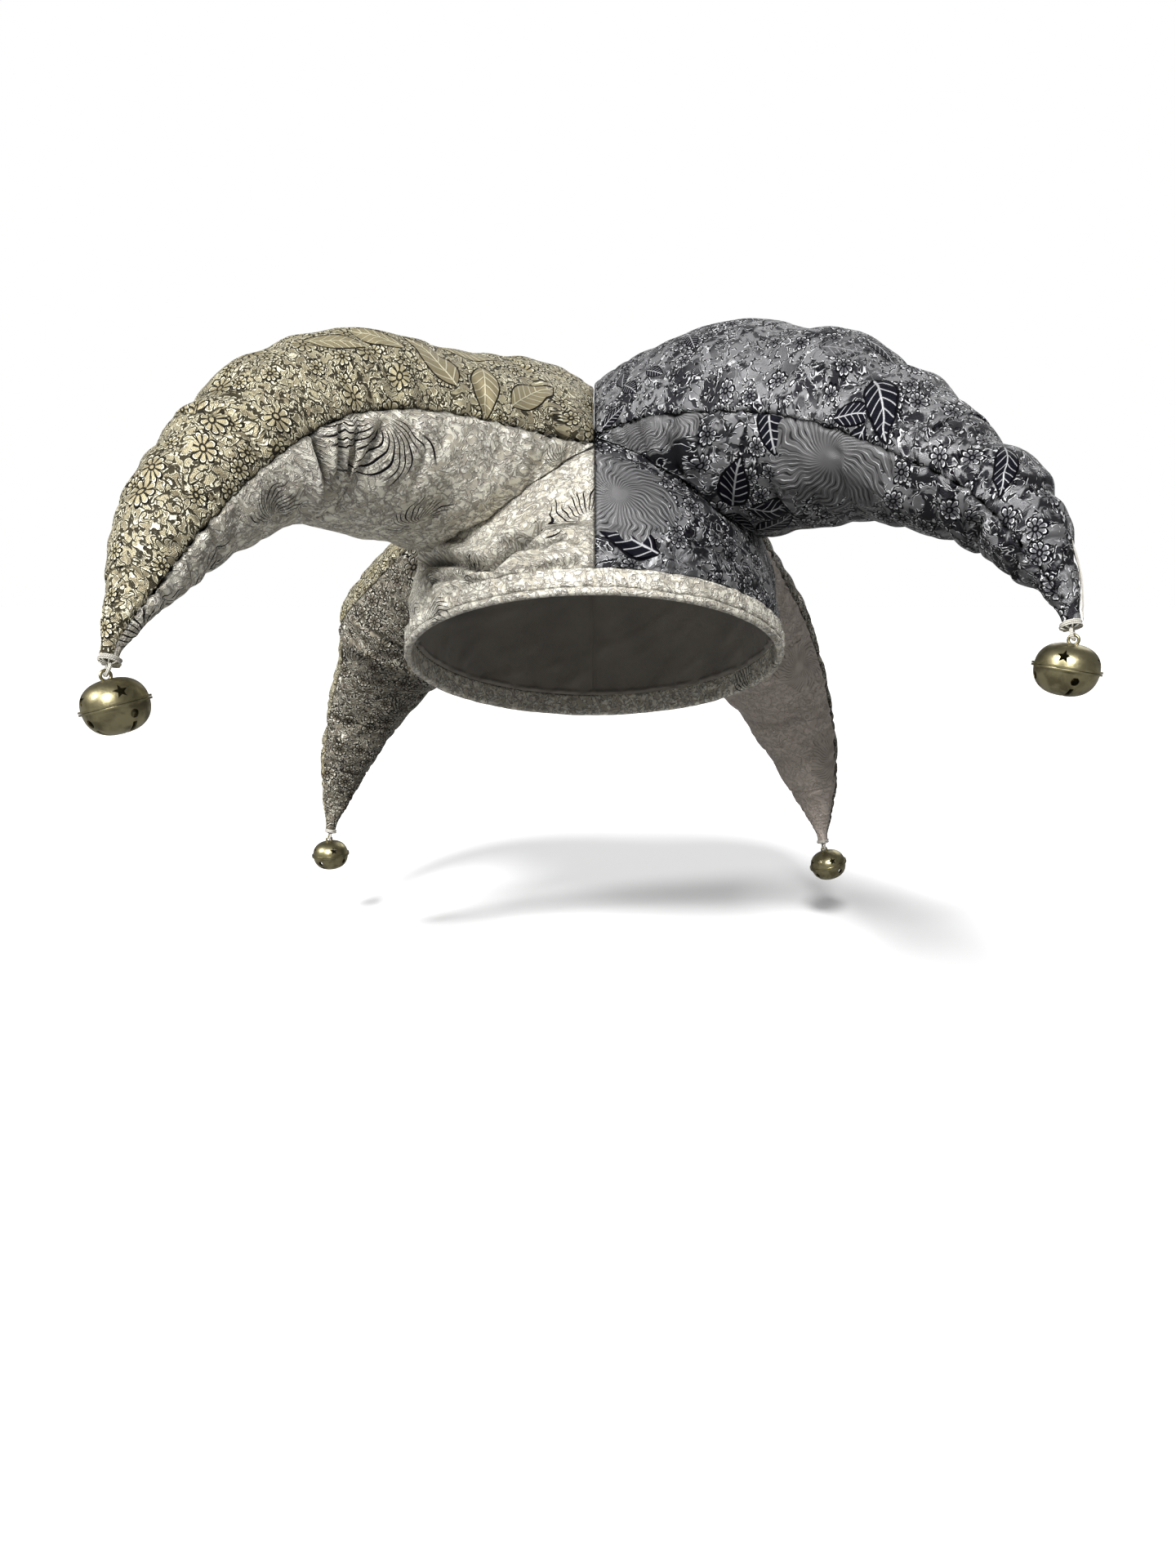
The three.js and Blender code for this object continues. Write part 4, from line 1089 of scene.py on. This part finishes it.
def cap_quarter(name, x, y, finish):
    """One quarter of the cap's cloth, on the side of the axes that the signs x and y give."""
    around, up = 150, 110
    start = {(1, 1): 0.0, (-1, 1): 0.5, (-1, -1): 1.0, (1, -1): 1.5}[(x, y)] * np.pi
    low = (2 / np.pi) * math.asin((BAND_HEIGHT / CAP_HEIGHT) ** (CAP_FULLNESS / 2))
    turn = start + np.linspace(0, np.pi / 2, around + 1)[None, :]
    rise = (low + (0.995 - low) * np.linspace(0, 1, up + 1) ** 1.2)[:, None]
    turn, rise = np.broadcast_arrays(turn, rise)
    outer = cap_surface(turn, rise, 0.0)
    inner = cap_surface(turn, rise, CAP_CLOTH)
    normal = outer - inner
    normal /= np.linalg.norm(normal, axis=2)[..., None]
    seam = np.minimum(turn - start, start + np.pi / 2 - turn) * CAP_AROUND * np.cos(rise * np.pi / 2)
    relief, painted_shade = cap_relief(turn, outer[..., 2])
    relief = relief * (1 - np.exp(-(seam / 0.003) ** 2))
    # Painted shade along the seams between the quarters and where the cloth meets the band.
    painted_shade = np.maximum(painted_shade, np.exp(-(seam / 0.0006) ** 2))
    painted_shade = np.maximum(painted_shade, np.exp(-((outer[..., 2] - BAND_HEIGHT) / 0.0011) ** 2))
    relief -= 0.0011 * np.exp(-(seam / 0.0014) ** 2)
    relief -= 0.0016 * np.exp(-((outer[..., 2] - BAND_HEIGHT - 0.0015) / 0.0012) ** 2)
    relief = np.clip(relief, -0.006, 0.005) * (1 - np.exp(-((outer[..., 2] - BAND_HEIGHT) / 0.0008) ** 2))
    outer = outer + normal * relief[..., None]
    inner = inner + normal * np.minimum(relief, 0)[..., None]
    for grid in (outer, inner):
        grid[..., 0] = x * np.maximum(x * grid[..., 0], 0)
        grid[..., 1] = y * np.maximum(y * grid[..., 1], 0)
        grid[..., 2] = np.maximum(grid[..., 2], BAND_HEIGHT)
    across = gathered(outer)
    along = np.concatenate([[0], np.cumsum(np.linalg.norm(
        np.diff(outer[:, around // 2], axis=0), axis=1))])
    flat = np.stack([across, np.repeat(along[:, None], around + 1, axis=1)], axis=2)
    flat = flat + (0.2 * x + 0.9, 0.15 * y + 0.7)
    draw(name.replace("_cloth", ""), finish, flat.transpose(1, 0, 2), np.degrees(turn[0]),
         1000 * outer[:, around // 2, 2])
    count = around + 1
    size = count * (up + 1)
    points = np.concatenate([outer.reshape(-1, 3), inner.reshape(-1, 3)])
    faces = ring_faces(up + 1, count, closed=False)
    faces += [tuple(size + i for i in reversed(face)) for face in faces]
    border = ([(0, i) for i in range(around)] + [(i, around) for i in range(up)]
              + [(up, around - i) for i in range(around)] + [(up - i, 0) for i in range(up)])
    border = [i * count + j for i, j in border]
    for a, b in zip(border, border[1:] + border[:1]):
        faces.append((b, a, size + a, size + b))
    uv = np.concatenate([flat.reshape(-1, 2), flat.reshape(-1, 2)])
    # Painted shade on the outer cloth only; the lining is left plain.
    depth_and_shade = np.concatenate([painted_shade.ravel(), painted_shade.ravel() * 0])
    piece = build(name, points, faces, finish, uv, painted_shade=depth_and_shade)
    piece.data.materials.append(finish_of("plain_lining"))
    for polygon in piece.data.polygons:
        if min(polygon.vertices) >= size:
            polygon.material_index = 1
    work = bmesh.new()
    work.from_mesh(piece.data)
    bmesh.ops.remove_doubles(work, verts=work.verts, dist=1e-6)
    bmesh.ops.dissolve_degenerate(work, edges=work.edges, dist=1e-7)
    bmesh.ops.recalc_face_normals(work, faces=work.faces)
    work.to_mesh(piece.data)
    work.free()
    return piece


def band_ripple(turn, up):
    """How far the band's cloth waves in and out."""
    around = BAND_AROUND * turn
    return 0.0009 * ripple(around + 0.4 * up, 2.9, 0.008) + 0.0003 * ripple(around, 4.1, 0.021)


def band_lift(turn):
    """How far the band's lower part waves up and down."""
    return 0.00035 * ripple(BAND_AROUND * turn, 1.3, 0.03)


def band():
    """A flat strip on edge above a round roll, with a groove between them."""
    outer = BAND_THICKNESS - CAP_CLOTH
    roll = ROLL_DIAMETER / 2
    section = [
        (-outer * 0.1, BAND_HEIGHT),
        (-outer * 0.8, BAND_HEIGHT * 0.97),
        (-outer, BAND_HEIGHT * 0.86),
        (-outer * 1.05, BAND_HEIGHT * 0.62),
        (-outer, ROLL_DIAMETER + 0.0012),
        (-outer * 0.75, ROLL_DIAMETER + 0.0005),
        (-outer * 0.1, ROLL_DIAMETER),
        (-outer * 0.8, ROLL_DIAMETER * 0.82),
        (-outer - 0.0003, roll * 1.1),
        (-outer - 0.0002, roll * 0.5),
        (-outer + roll * 0.5, roll * 0.08),
        (-outer + roll * 1.2, 0.0),
        (CAP_CLOTH * 0.9, roll * 0.4),
        (CAP_CLOTH, roll),
        (CAP_CLOTH, BAND_HEIGHT * 0.5),
        (CAP_CLOTH, BAND_HEIGHT * 0.96),
        (CAP_CLOTH * 0.8, BAND_HEIGHT),
        (CAP_CLOTH * 0.4, BAND_HEIGHT),
    ]
    steps = 360
    turn = 2 * np.pi * np.arange(steps) / steps
    rings = []
    for inset, up in section:
        shift = np.zeros(steps)
        lift = np.zeros(steps)
        if inset < 0:
            strip = 1.0 if up > ROLL_DIAMETER else 0.5
            shift = strip * band_ripple(turn, up)
            if up < 0.9 * BAND_HEIGHT:
                lift = band_lift(turn)
            shift -= 0.0008 * np.exp(-(BAND_AROUND * (turn - 1.5 * np.pi) / 0.0012) ** 2)
        rings.append(np.stack([
            (CAP_WIDTH / 2 - inset + shift) * np.cos(turn),
            (CAP_DEPTH / 2 - inset + shift) * np.sin(turn),
            np.clip(up + lift, 0.0001, BAND_HEIGHT),
        ], axis=1))
    grid = np.array(rings)
    count = len(section)
    points = grid.transpose(1, 0, 2).reshape(-1, 3)
    faces = []
    for i in range(steps):
        j = (i + 1) % steps
        for k in range(count):
            m = (k + 1) % count
            faces.append((i * count + k, i * count + m, j * count + m, j * count + k))
    drop = np.concatenate([[0], np.cumsum([math.dist(a, b) for a, b in zip(section[:-1], section[1:])])])
    uv = np.array([(BAND_AROUND * a, 0.5 - d) for a in turn for d in drop])
    grooves = ((-outer * 0.1, BAND_HEIGHT), (-outer * 0.1, ROLL_DIAMETER))
    # Painted shade in the band's two grooves.
    depth_and_shade = [0.9 if point in grooves else 0.0 for point in section]
    piece = build("brocade_hem_band", points, faces, "silver_brocade", uv, smooth=1,
                  painted_shade=np.tile(depth_and_shade, steps))
    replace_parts(piece, "hem_band")
    return piece


# Threads

def tube_parts(path, radius, sides=8, closed=False):
    """Points, faces and flat places of a round thread along a path."""
    path = np.asarray(path, float)
    count = len(path)
    if closed:
        tangent = np.roll(path, -1, axis=0) - np.roll(path, 1, axis=0)
    else:
        tangent = np.gradient(path, axis=0)
    tangent /= np.linalg.norm(tangent, axis=1)[:, None]
    first = np.array([0.0, 0.0, 1.0]) if abs(tangent[0][2]) < 0.9 else np.array([1.0, 0.0, 0.0])
    across = []
    for direction in tangent:
        first = first - direction * first.dot(direction)
        first /= np.linalg.norm(first)
        across.append(first)
    across = np.array(across)
    other = np.cross(tangent, across)
    if closed:
        start, end = across[0], across[-1] - tangent[0] * across[-1].dot(tangent[0])
        slip = math.atan2(end.dot(other[0]), end.dot(start))
        back = -slip * np.arange(count) / count
        across, other = (
            across * np.cos(back)[:, None] + other * np.sin(back)[:, None],
            other * np.cos(back)[:, None] - across * np.sin(back)[:, None],
        )
    turn = 2 * np.pi * np.arange(sides) / sides
    thick = np.full(count, radius)
    if not closed:
        thick[0] = thick[-1] = radius * 0.45
    points = (path[:, None, :] + across[:, None, :] * (np.cos(turn) * thick[:, None])[..., None]
              + other[:, None, :] * (np.sin(turn) * thick[:, None])[..., None])
    length = np.concatenate([[0], np.cumsum(np.linalg.norm(np.diff(path, axis=0), axis=1))])
    uv = np.stack(np.broadcast_arrays((turn * radius)[None, :], length[:, None]), axis=2)
    faces = ring_faces(count, sides)
    if closed:
        last = (count - 1) * sides
        faces += [(last + i, last + (i + 1) % sides, (i + 1) % sides, i) for i in range(sides)]
    else:
        faces.append(tuple(reversed(range(sides))))
        faces.append(tuple((count - 1) * sides + i for i in range(sides)))
    return points.reshape(-1, 3), faces, uv.reshape(-1, 2)


def joined(parts):
    """Several threads as one set of points, faces and flat places."""
    points, faces, places, start = [], [], [], 0
    for some, sides, flat in parts:
        points.append(some)
        places.append(flat)
        faces += [tuple(start + i for i in face) for face in sides]
        start += len(some)
    return np.concatenate(points), faces, np.concatenate(places)


def horn_end(name):
    """The end of a horn: its place, its direction, and how thick the horn is just before it."""
    path = horn_run(name)[0]
    last = len(path) - 1
    end = spline(path, np.array([float(last)]))[0]
    before = spline(path, np.array([last - 1e-3]))[0]
    ahead = end - before
    return end, ahead / np.linalg.norm(ahead), SECTIONS[name][-2][2] * HORN_WIDTH / 2


def tie(name):
    """Thread wound round the horn's end and looped through the bell's lug."""
    end, ahead, neck = horn_end(name)
    turn = Vector((0, 0, -1)).rotation_difference(Vector(in_room(ahead))).to_matrix()
    turn = np.array(turn @ Matrix.Rotation(math.radians(HORNS[name]["swing"]), 3, "Z"))
    home = in_room(end)
    fine = 0.0003
    parts = []
    angle = np.linspace(0, 2 * np.pi * 4, 120)
    climb = np.linspace(-0.0009, 0.0011, 120) + 0.0002 * np.sin(angle * 0.7)
    wound = neck + fine - 0.0001 + 0.0002 * np.sin(angle * 1.31 + 1)
    parts.append((np.stack([wound * np.cos(angle), wound * np.sin(angle), climb], axis=1), False))
    loop = (TIE_LOOP - TIE_THICKNESS) / 2
    for shift, size in ((-0.0004, 0.0), (0.0004, 0.0001), (0.0, -0.0003), (0.0, 0.00035)):
        angle = np.linspace(0, 2 * np.pi, 40, endpoint=False)
        wide = loop + size
        parts.append((np.stack([
            shift + 0.0001 * np.sin(3 * angle),
            wide * np.cos(angle),
            -GAP - TIE_LOOP / 2 + wide * np.sin(angle),
        ], axis=1), True))
    for i in range(5):
        lie = 2 * np.pi * i / 5
        cross = np.linspace(-1, 1, 14)
        reach = neck + GAP + fine
        parts.append((np.stack([
            reach * cross * math.cos(lie),
            reach * cross * math.sin(lie),
            -GAP - 0.0008 + 0.0006 * np.abs(cross) ** 3 - 0.00008 * i,
        ], axis=1), False))
    made_parts = [tube_parts(path @ turn.T + home, fine, 8, closed) for path, closed in parts]
    points, faces, uv = joined(made_parts)
    back = points @ np.array(TO_ROOM)
    piece = build(f"{name}_bell_thread", back, faces, "white_thread", uv)
    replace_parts(piece, f"tie_{name}")


def fray(name, first, last, column):
    """Loose white threads that lie along a horn's outer side, between two rows of the horn's table."""
    shape, centre, at, length = horn_loft(name)
    chosen = (at >= first) & (at <= last)
    line = kept_clear(name, shape)[chosen, column]
    run = length[chosen]
    out = line - centre[chosen]
    out /= np.linalg.norm(out, axis=1)[:, None]
    ahead = np.gradient(line, axis=0)
    sway = np.cross(ahead / np.linalg.norm(ahead, axis=1)[:, None], out)
    share = np.linspace(0, 1, len(line))
    parts = []
    for i in range(7):
        reach = 0.0009 + (0.0004 + 0.0005 * ripple(run, 1.7 * i + 0.4, 0.011)) * np.sin(np.pi * share)
        spread = (i - 3) * 0.0004 + 0.0004 * ripple(run, 0.9 * i + 2, 0.014)
        start, stop = int(0.05 * i * len(line)), len(line) - int(0.03 * ((i * 3) % 7) * len(line))
        path = line + out * reach[:, None] + sway * spread[:, None]
        parts.append(tube_parts(path[start:stop], 0.00026, 6))
    points, faces, uv = joined(parts)
    build(f"{name}_loose_threads", points, faces, "white_thread", uv)


def hem_stitches():
    """A row of machine stitches round the band, just above its roll, and one along its top edge."""
    parts = []
    outside = BAND_THICKNESS - CAP_CLOTH
    for height, pitch in STITCH_ROWS:
        count = int(2 * math.pi * BAND_AROUND / pitch)
        for i in range(count):
            middle = 2 * math.pi * i / count
            turn = middle + np.linspace(-0.36, 0.36, 6) * pitch / BAND_AROUND
            bulge = 0.00016 * np.cos(np.linspace(-1.5, 1.5, 6))
            out = outside + band_ripple(turn, height) + bulge - 0.00004
            path = np.stack([
                (CAP_WIDTH / 2 + out) * np.cos(turn),
                (CAP_DEPTH / 2 + out) * np.sin(turn),
                height + band_lift(turn),
            ], axis=1)
            parts.append(tube_parts(path, 0.00017, 5))
    points, faces, uv = joined(parts)
    build("hem_stitches", points, faces, "white_thread", uv)


# Bells

def only(piece):
    bpy.ops.object.select_all(action="DESELECT")
    bpy.context.view_layer.objects.active = piece
    piece.select_set(True)


def applied(piece, kind, **settings):
    only(piece)
    modifier = piece.modifiers.new(kind.lower(), kind)
    for key, value in settings.items():
        setattr(modifier, key, value)
    bpy.ops.object.modifier_apply(modifier=modifier.name)


def cut_with(piece, tool):
    applied(piece, "BOOLEAN", operation="DIFFERENCE", object=tool, solver="EXACT")
    bpy.data.objects.remove(tool)


def half_shell(height, sign):
    """One half of a bell's shell with its flange: its profile is drawn out from the pole and spun round."""
    radius = BELL_RADIUS - FLANGE_WIDTH
    run = []
    for i in range(15):
        angle = math.pi / 2 * (1 - i / 14)
        run.append((radius * max(math.cos(angle), 0) ** 0.8, sign * height * math.sin(angle) ** 0.9))
    run = [(x, z) for x, z in run if abs(z) > FLANGE_THICKNESS * 1.6]
    run += [(radius, sign * FLANGE_THICKNESS), (BELL_RADIUS, sign * FLANGE_THICKNESS)]
    bpy.ops.mesh.primitive_plane_add(size=0.001, location=(0, 0, 0))
    shell = bpy.context.object
    bpy.ops.object.mode_set(mode="EDIT")
    bpy.ops.mesh.select_all(action="SELECT")
    bpy.ops.mesh.merge(type="CENTER")
    bpy.ops.transform.translate(value=(run[0][0], 0, run[0][1]))
    for (x0, z0), (x1, z1) in zip(run[:-1], run[1:]):
        bpy.ops.mesh.extrude_region_move(TRANSFORM_OT_translate={"value": (x1 - x0, 0, z1 - z0)})
    bpy.ops.mesh.select_all(action="SELECT")
    bpy.ops.mesh.spin(steps=72, angle=2 * math.pi, center=(0, 0, 0), axis=(0, 0, 1))
    bpy.ops.mesh.select_all(action="SELECT")
    bpy.ops.mesh.remove_doubles(threshold=1e-6)
    bpy.ops.mesh.normals_make_consistent(inside=False)
    bpy.ops.object.mode_set(mode="OBJECT")
    if sum(face.normal.z * face.area for face in shell.data.polygons) * sign < 0:
        shell.data.flip_normals()
    applied(shell, "SOLIDIFY", thickness=BELL_WALL, offset=-1)
    return shell


def star_tool(turn):
    bpy.ops.mesh.primitive_cylinder_add(vertices=10, radius=STAR_RADIUS, depth=0.012)
    tool = bpy.context.object
    points = tool.data.vertices
    for point in points:
        step = round(math.degrees(math.atan2(point.co.y, point.co.x)) / 36 - 2.5)
        if step % 2:
            point.co.x *= STAR_WAIST
            point.co.y *= STAR_WAIST
    aim = (Matrix.Rotation(turn, 4, "Z")
           @ Matrix.Translation((0, -STAR_FROM_AXIS, BELL_TOP_HEIGHT * STAR_LEVEL))
           @ Matrix.Rotation(math.radians(90 - STAR_TILT), 4, "X"))
    tool.data.transform(aim)
    return tool


def bell_top():
    shell = half_shell(BELL_TOP_HEIGHT, 1)
    for i in range(4):
        cut_with(shell, star_tool(math.pi / 2 * i))
    bpy.ops.mesh.primitive_torus_add(
        major_radius=(LUG_DIAMETER - LUG_WIRE) / 2, minor_radius=LUG_WIRE / 2, major_segments=36,
        minor_segments=14, location=(0, 0, LUG_SEAT + LUG_DIAMETER / 2), rotation=(math.pi / 2, 0, 0))
    lug = bpy.context.object
    applied(shell, "BOOLEAN", operation="UNION", object=lug, solver="EXACT")
    bpy.data.objects.remove(lug)
    return shell


def bell_base():
    shell = half_shell(BELL_BASE_HEIGHT, -1)
    for turn in (0, math.pi / 2):
        bpy.ops.mesh.primitive_cube_add(size=1, location=(0, 0, -BELL_BASE_HEIGHT * 0.9),
                                        scale=(1.5 * BELL_RADIUS, SLOT_WIDTH, BELL_BASE_HEIGHT),
                                        rotation=(0, 0, turn))
        cut_with(shell, bpy.context.object)
        bpy.ops.mesh.primitive_cylinder_add(
            vertices=32, radius=SLOT_HOLE_RADIUS, depth=3 * BELL_RADIUS,
            location=(0, 0, -BELL_BASE_HEIGHT * 0.4), rotation=(0, math.pi / 2, turn))
        cut_with(shell, bpy.context.object)
    return shell


def bell_pellet():
    bpy.ops.mesh.primitive_ico_sphere_add(
        subdivisions=3, radius=PELLET_RADIUS,
        location=(0, 0, PELLET_RADIUS + BELL_WALL + GAP - BELL_BASE_HEIGHT))
    return bpy.context.object


def finished_metal(piece):
    applied(piece, "BEVEL", width=0.00012, segments=2, limit_method="ANGLE", angle_limit=math.radians(35))
    only(piece)
    bpy.ops.object.transform_apply(location=True, rotation=True, scale=True)
    bpy.ops.object.shade_smooth_by_angle(angle=math.radians(40))
    piece.data.materials.clear()
    piece.data.materials.append(finish_of("antique_brass"))
    return piece


def hung(model, name, node, horn_name, twist):
    """A copy of a bell's part, hung on one horn."""
    end, ahead, _ = horn_end(horn_name)
    facts = HORNS[horn_name]
    pivot = in_room(end) + in_room(ahead) * (GAP + TIE_LOOP - TIE_THICKNESS / 2)
    drop = TIE_THICKNESS / 2 + GAP + LUG_WIRE - LUG_SEAT - LUG_DIAMETER
    place = (Matrix.Translation(pivot) @ Matrix.Rotation(math.radians(facts["lean"]), 4, "Y")
             @ Matrix.Rotation(math.radians(facts["swing"]), 4, "Z")
             @ Matrix.Translation((0, 0, drop)) @ Matrix.Rotation(twist, 4, "Z"))
    mesh = model.data.copy()
    mesh.transform(place)
    piece = bpy.data.objects.new(name, mesh)
    bpy.context.scene.collection.objects.link(piece)
    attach(piece, "root")
    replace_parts(piece, node)
    return piece


def bells():
    models = {
        "top": finished_metal(bell_top()),
        "base": finished_metal(bell_base()),
        "pellet": finished_metal(bell_pellet()),
    }
    for name, facts in HORNS.items():
        for part, model in models.items():
            twist = math.radians(facts["twist"]) if part == "base" else 0
            hung(model, f"{name}_bell_{part}", f"bell_{part}_{name}", name, twist)
    for model in models.values():
        bpy.data.objects.remove(model)


studio()
bells()
for horn_name in HORNS:
    horn(horn_name)
    tie(horn_name)
for quarter, x, y, cloth in (
    ("crown_front_left", -1, -1, "silver_brocade"),
    ("crown_front_right", 1, -1, "pewter_brocade"),
    ("crown_back_left", -1, 1, "bronze_brocade"),
    ("crown_back_right", 1, 1, "silver_brocade"),
):
    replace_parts(cap_quarter(f"{quarter}_cloth", x, y, cloth), quarter)
band()
hem_stitches()
fray("front_right", first=7.6, last=10.9, column=19)
finishes()
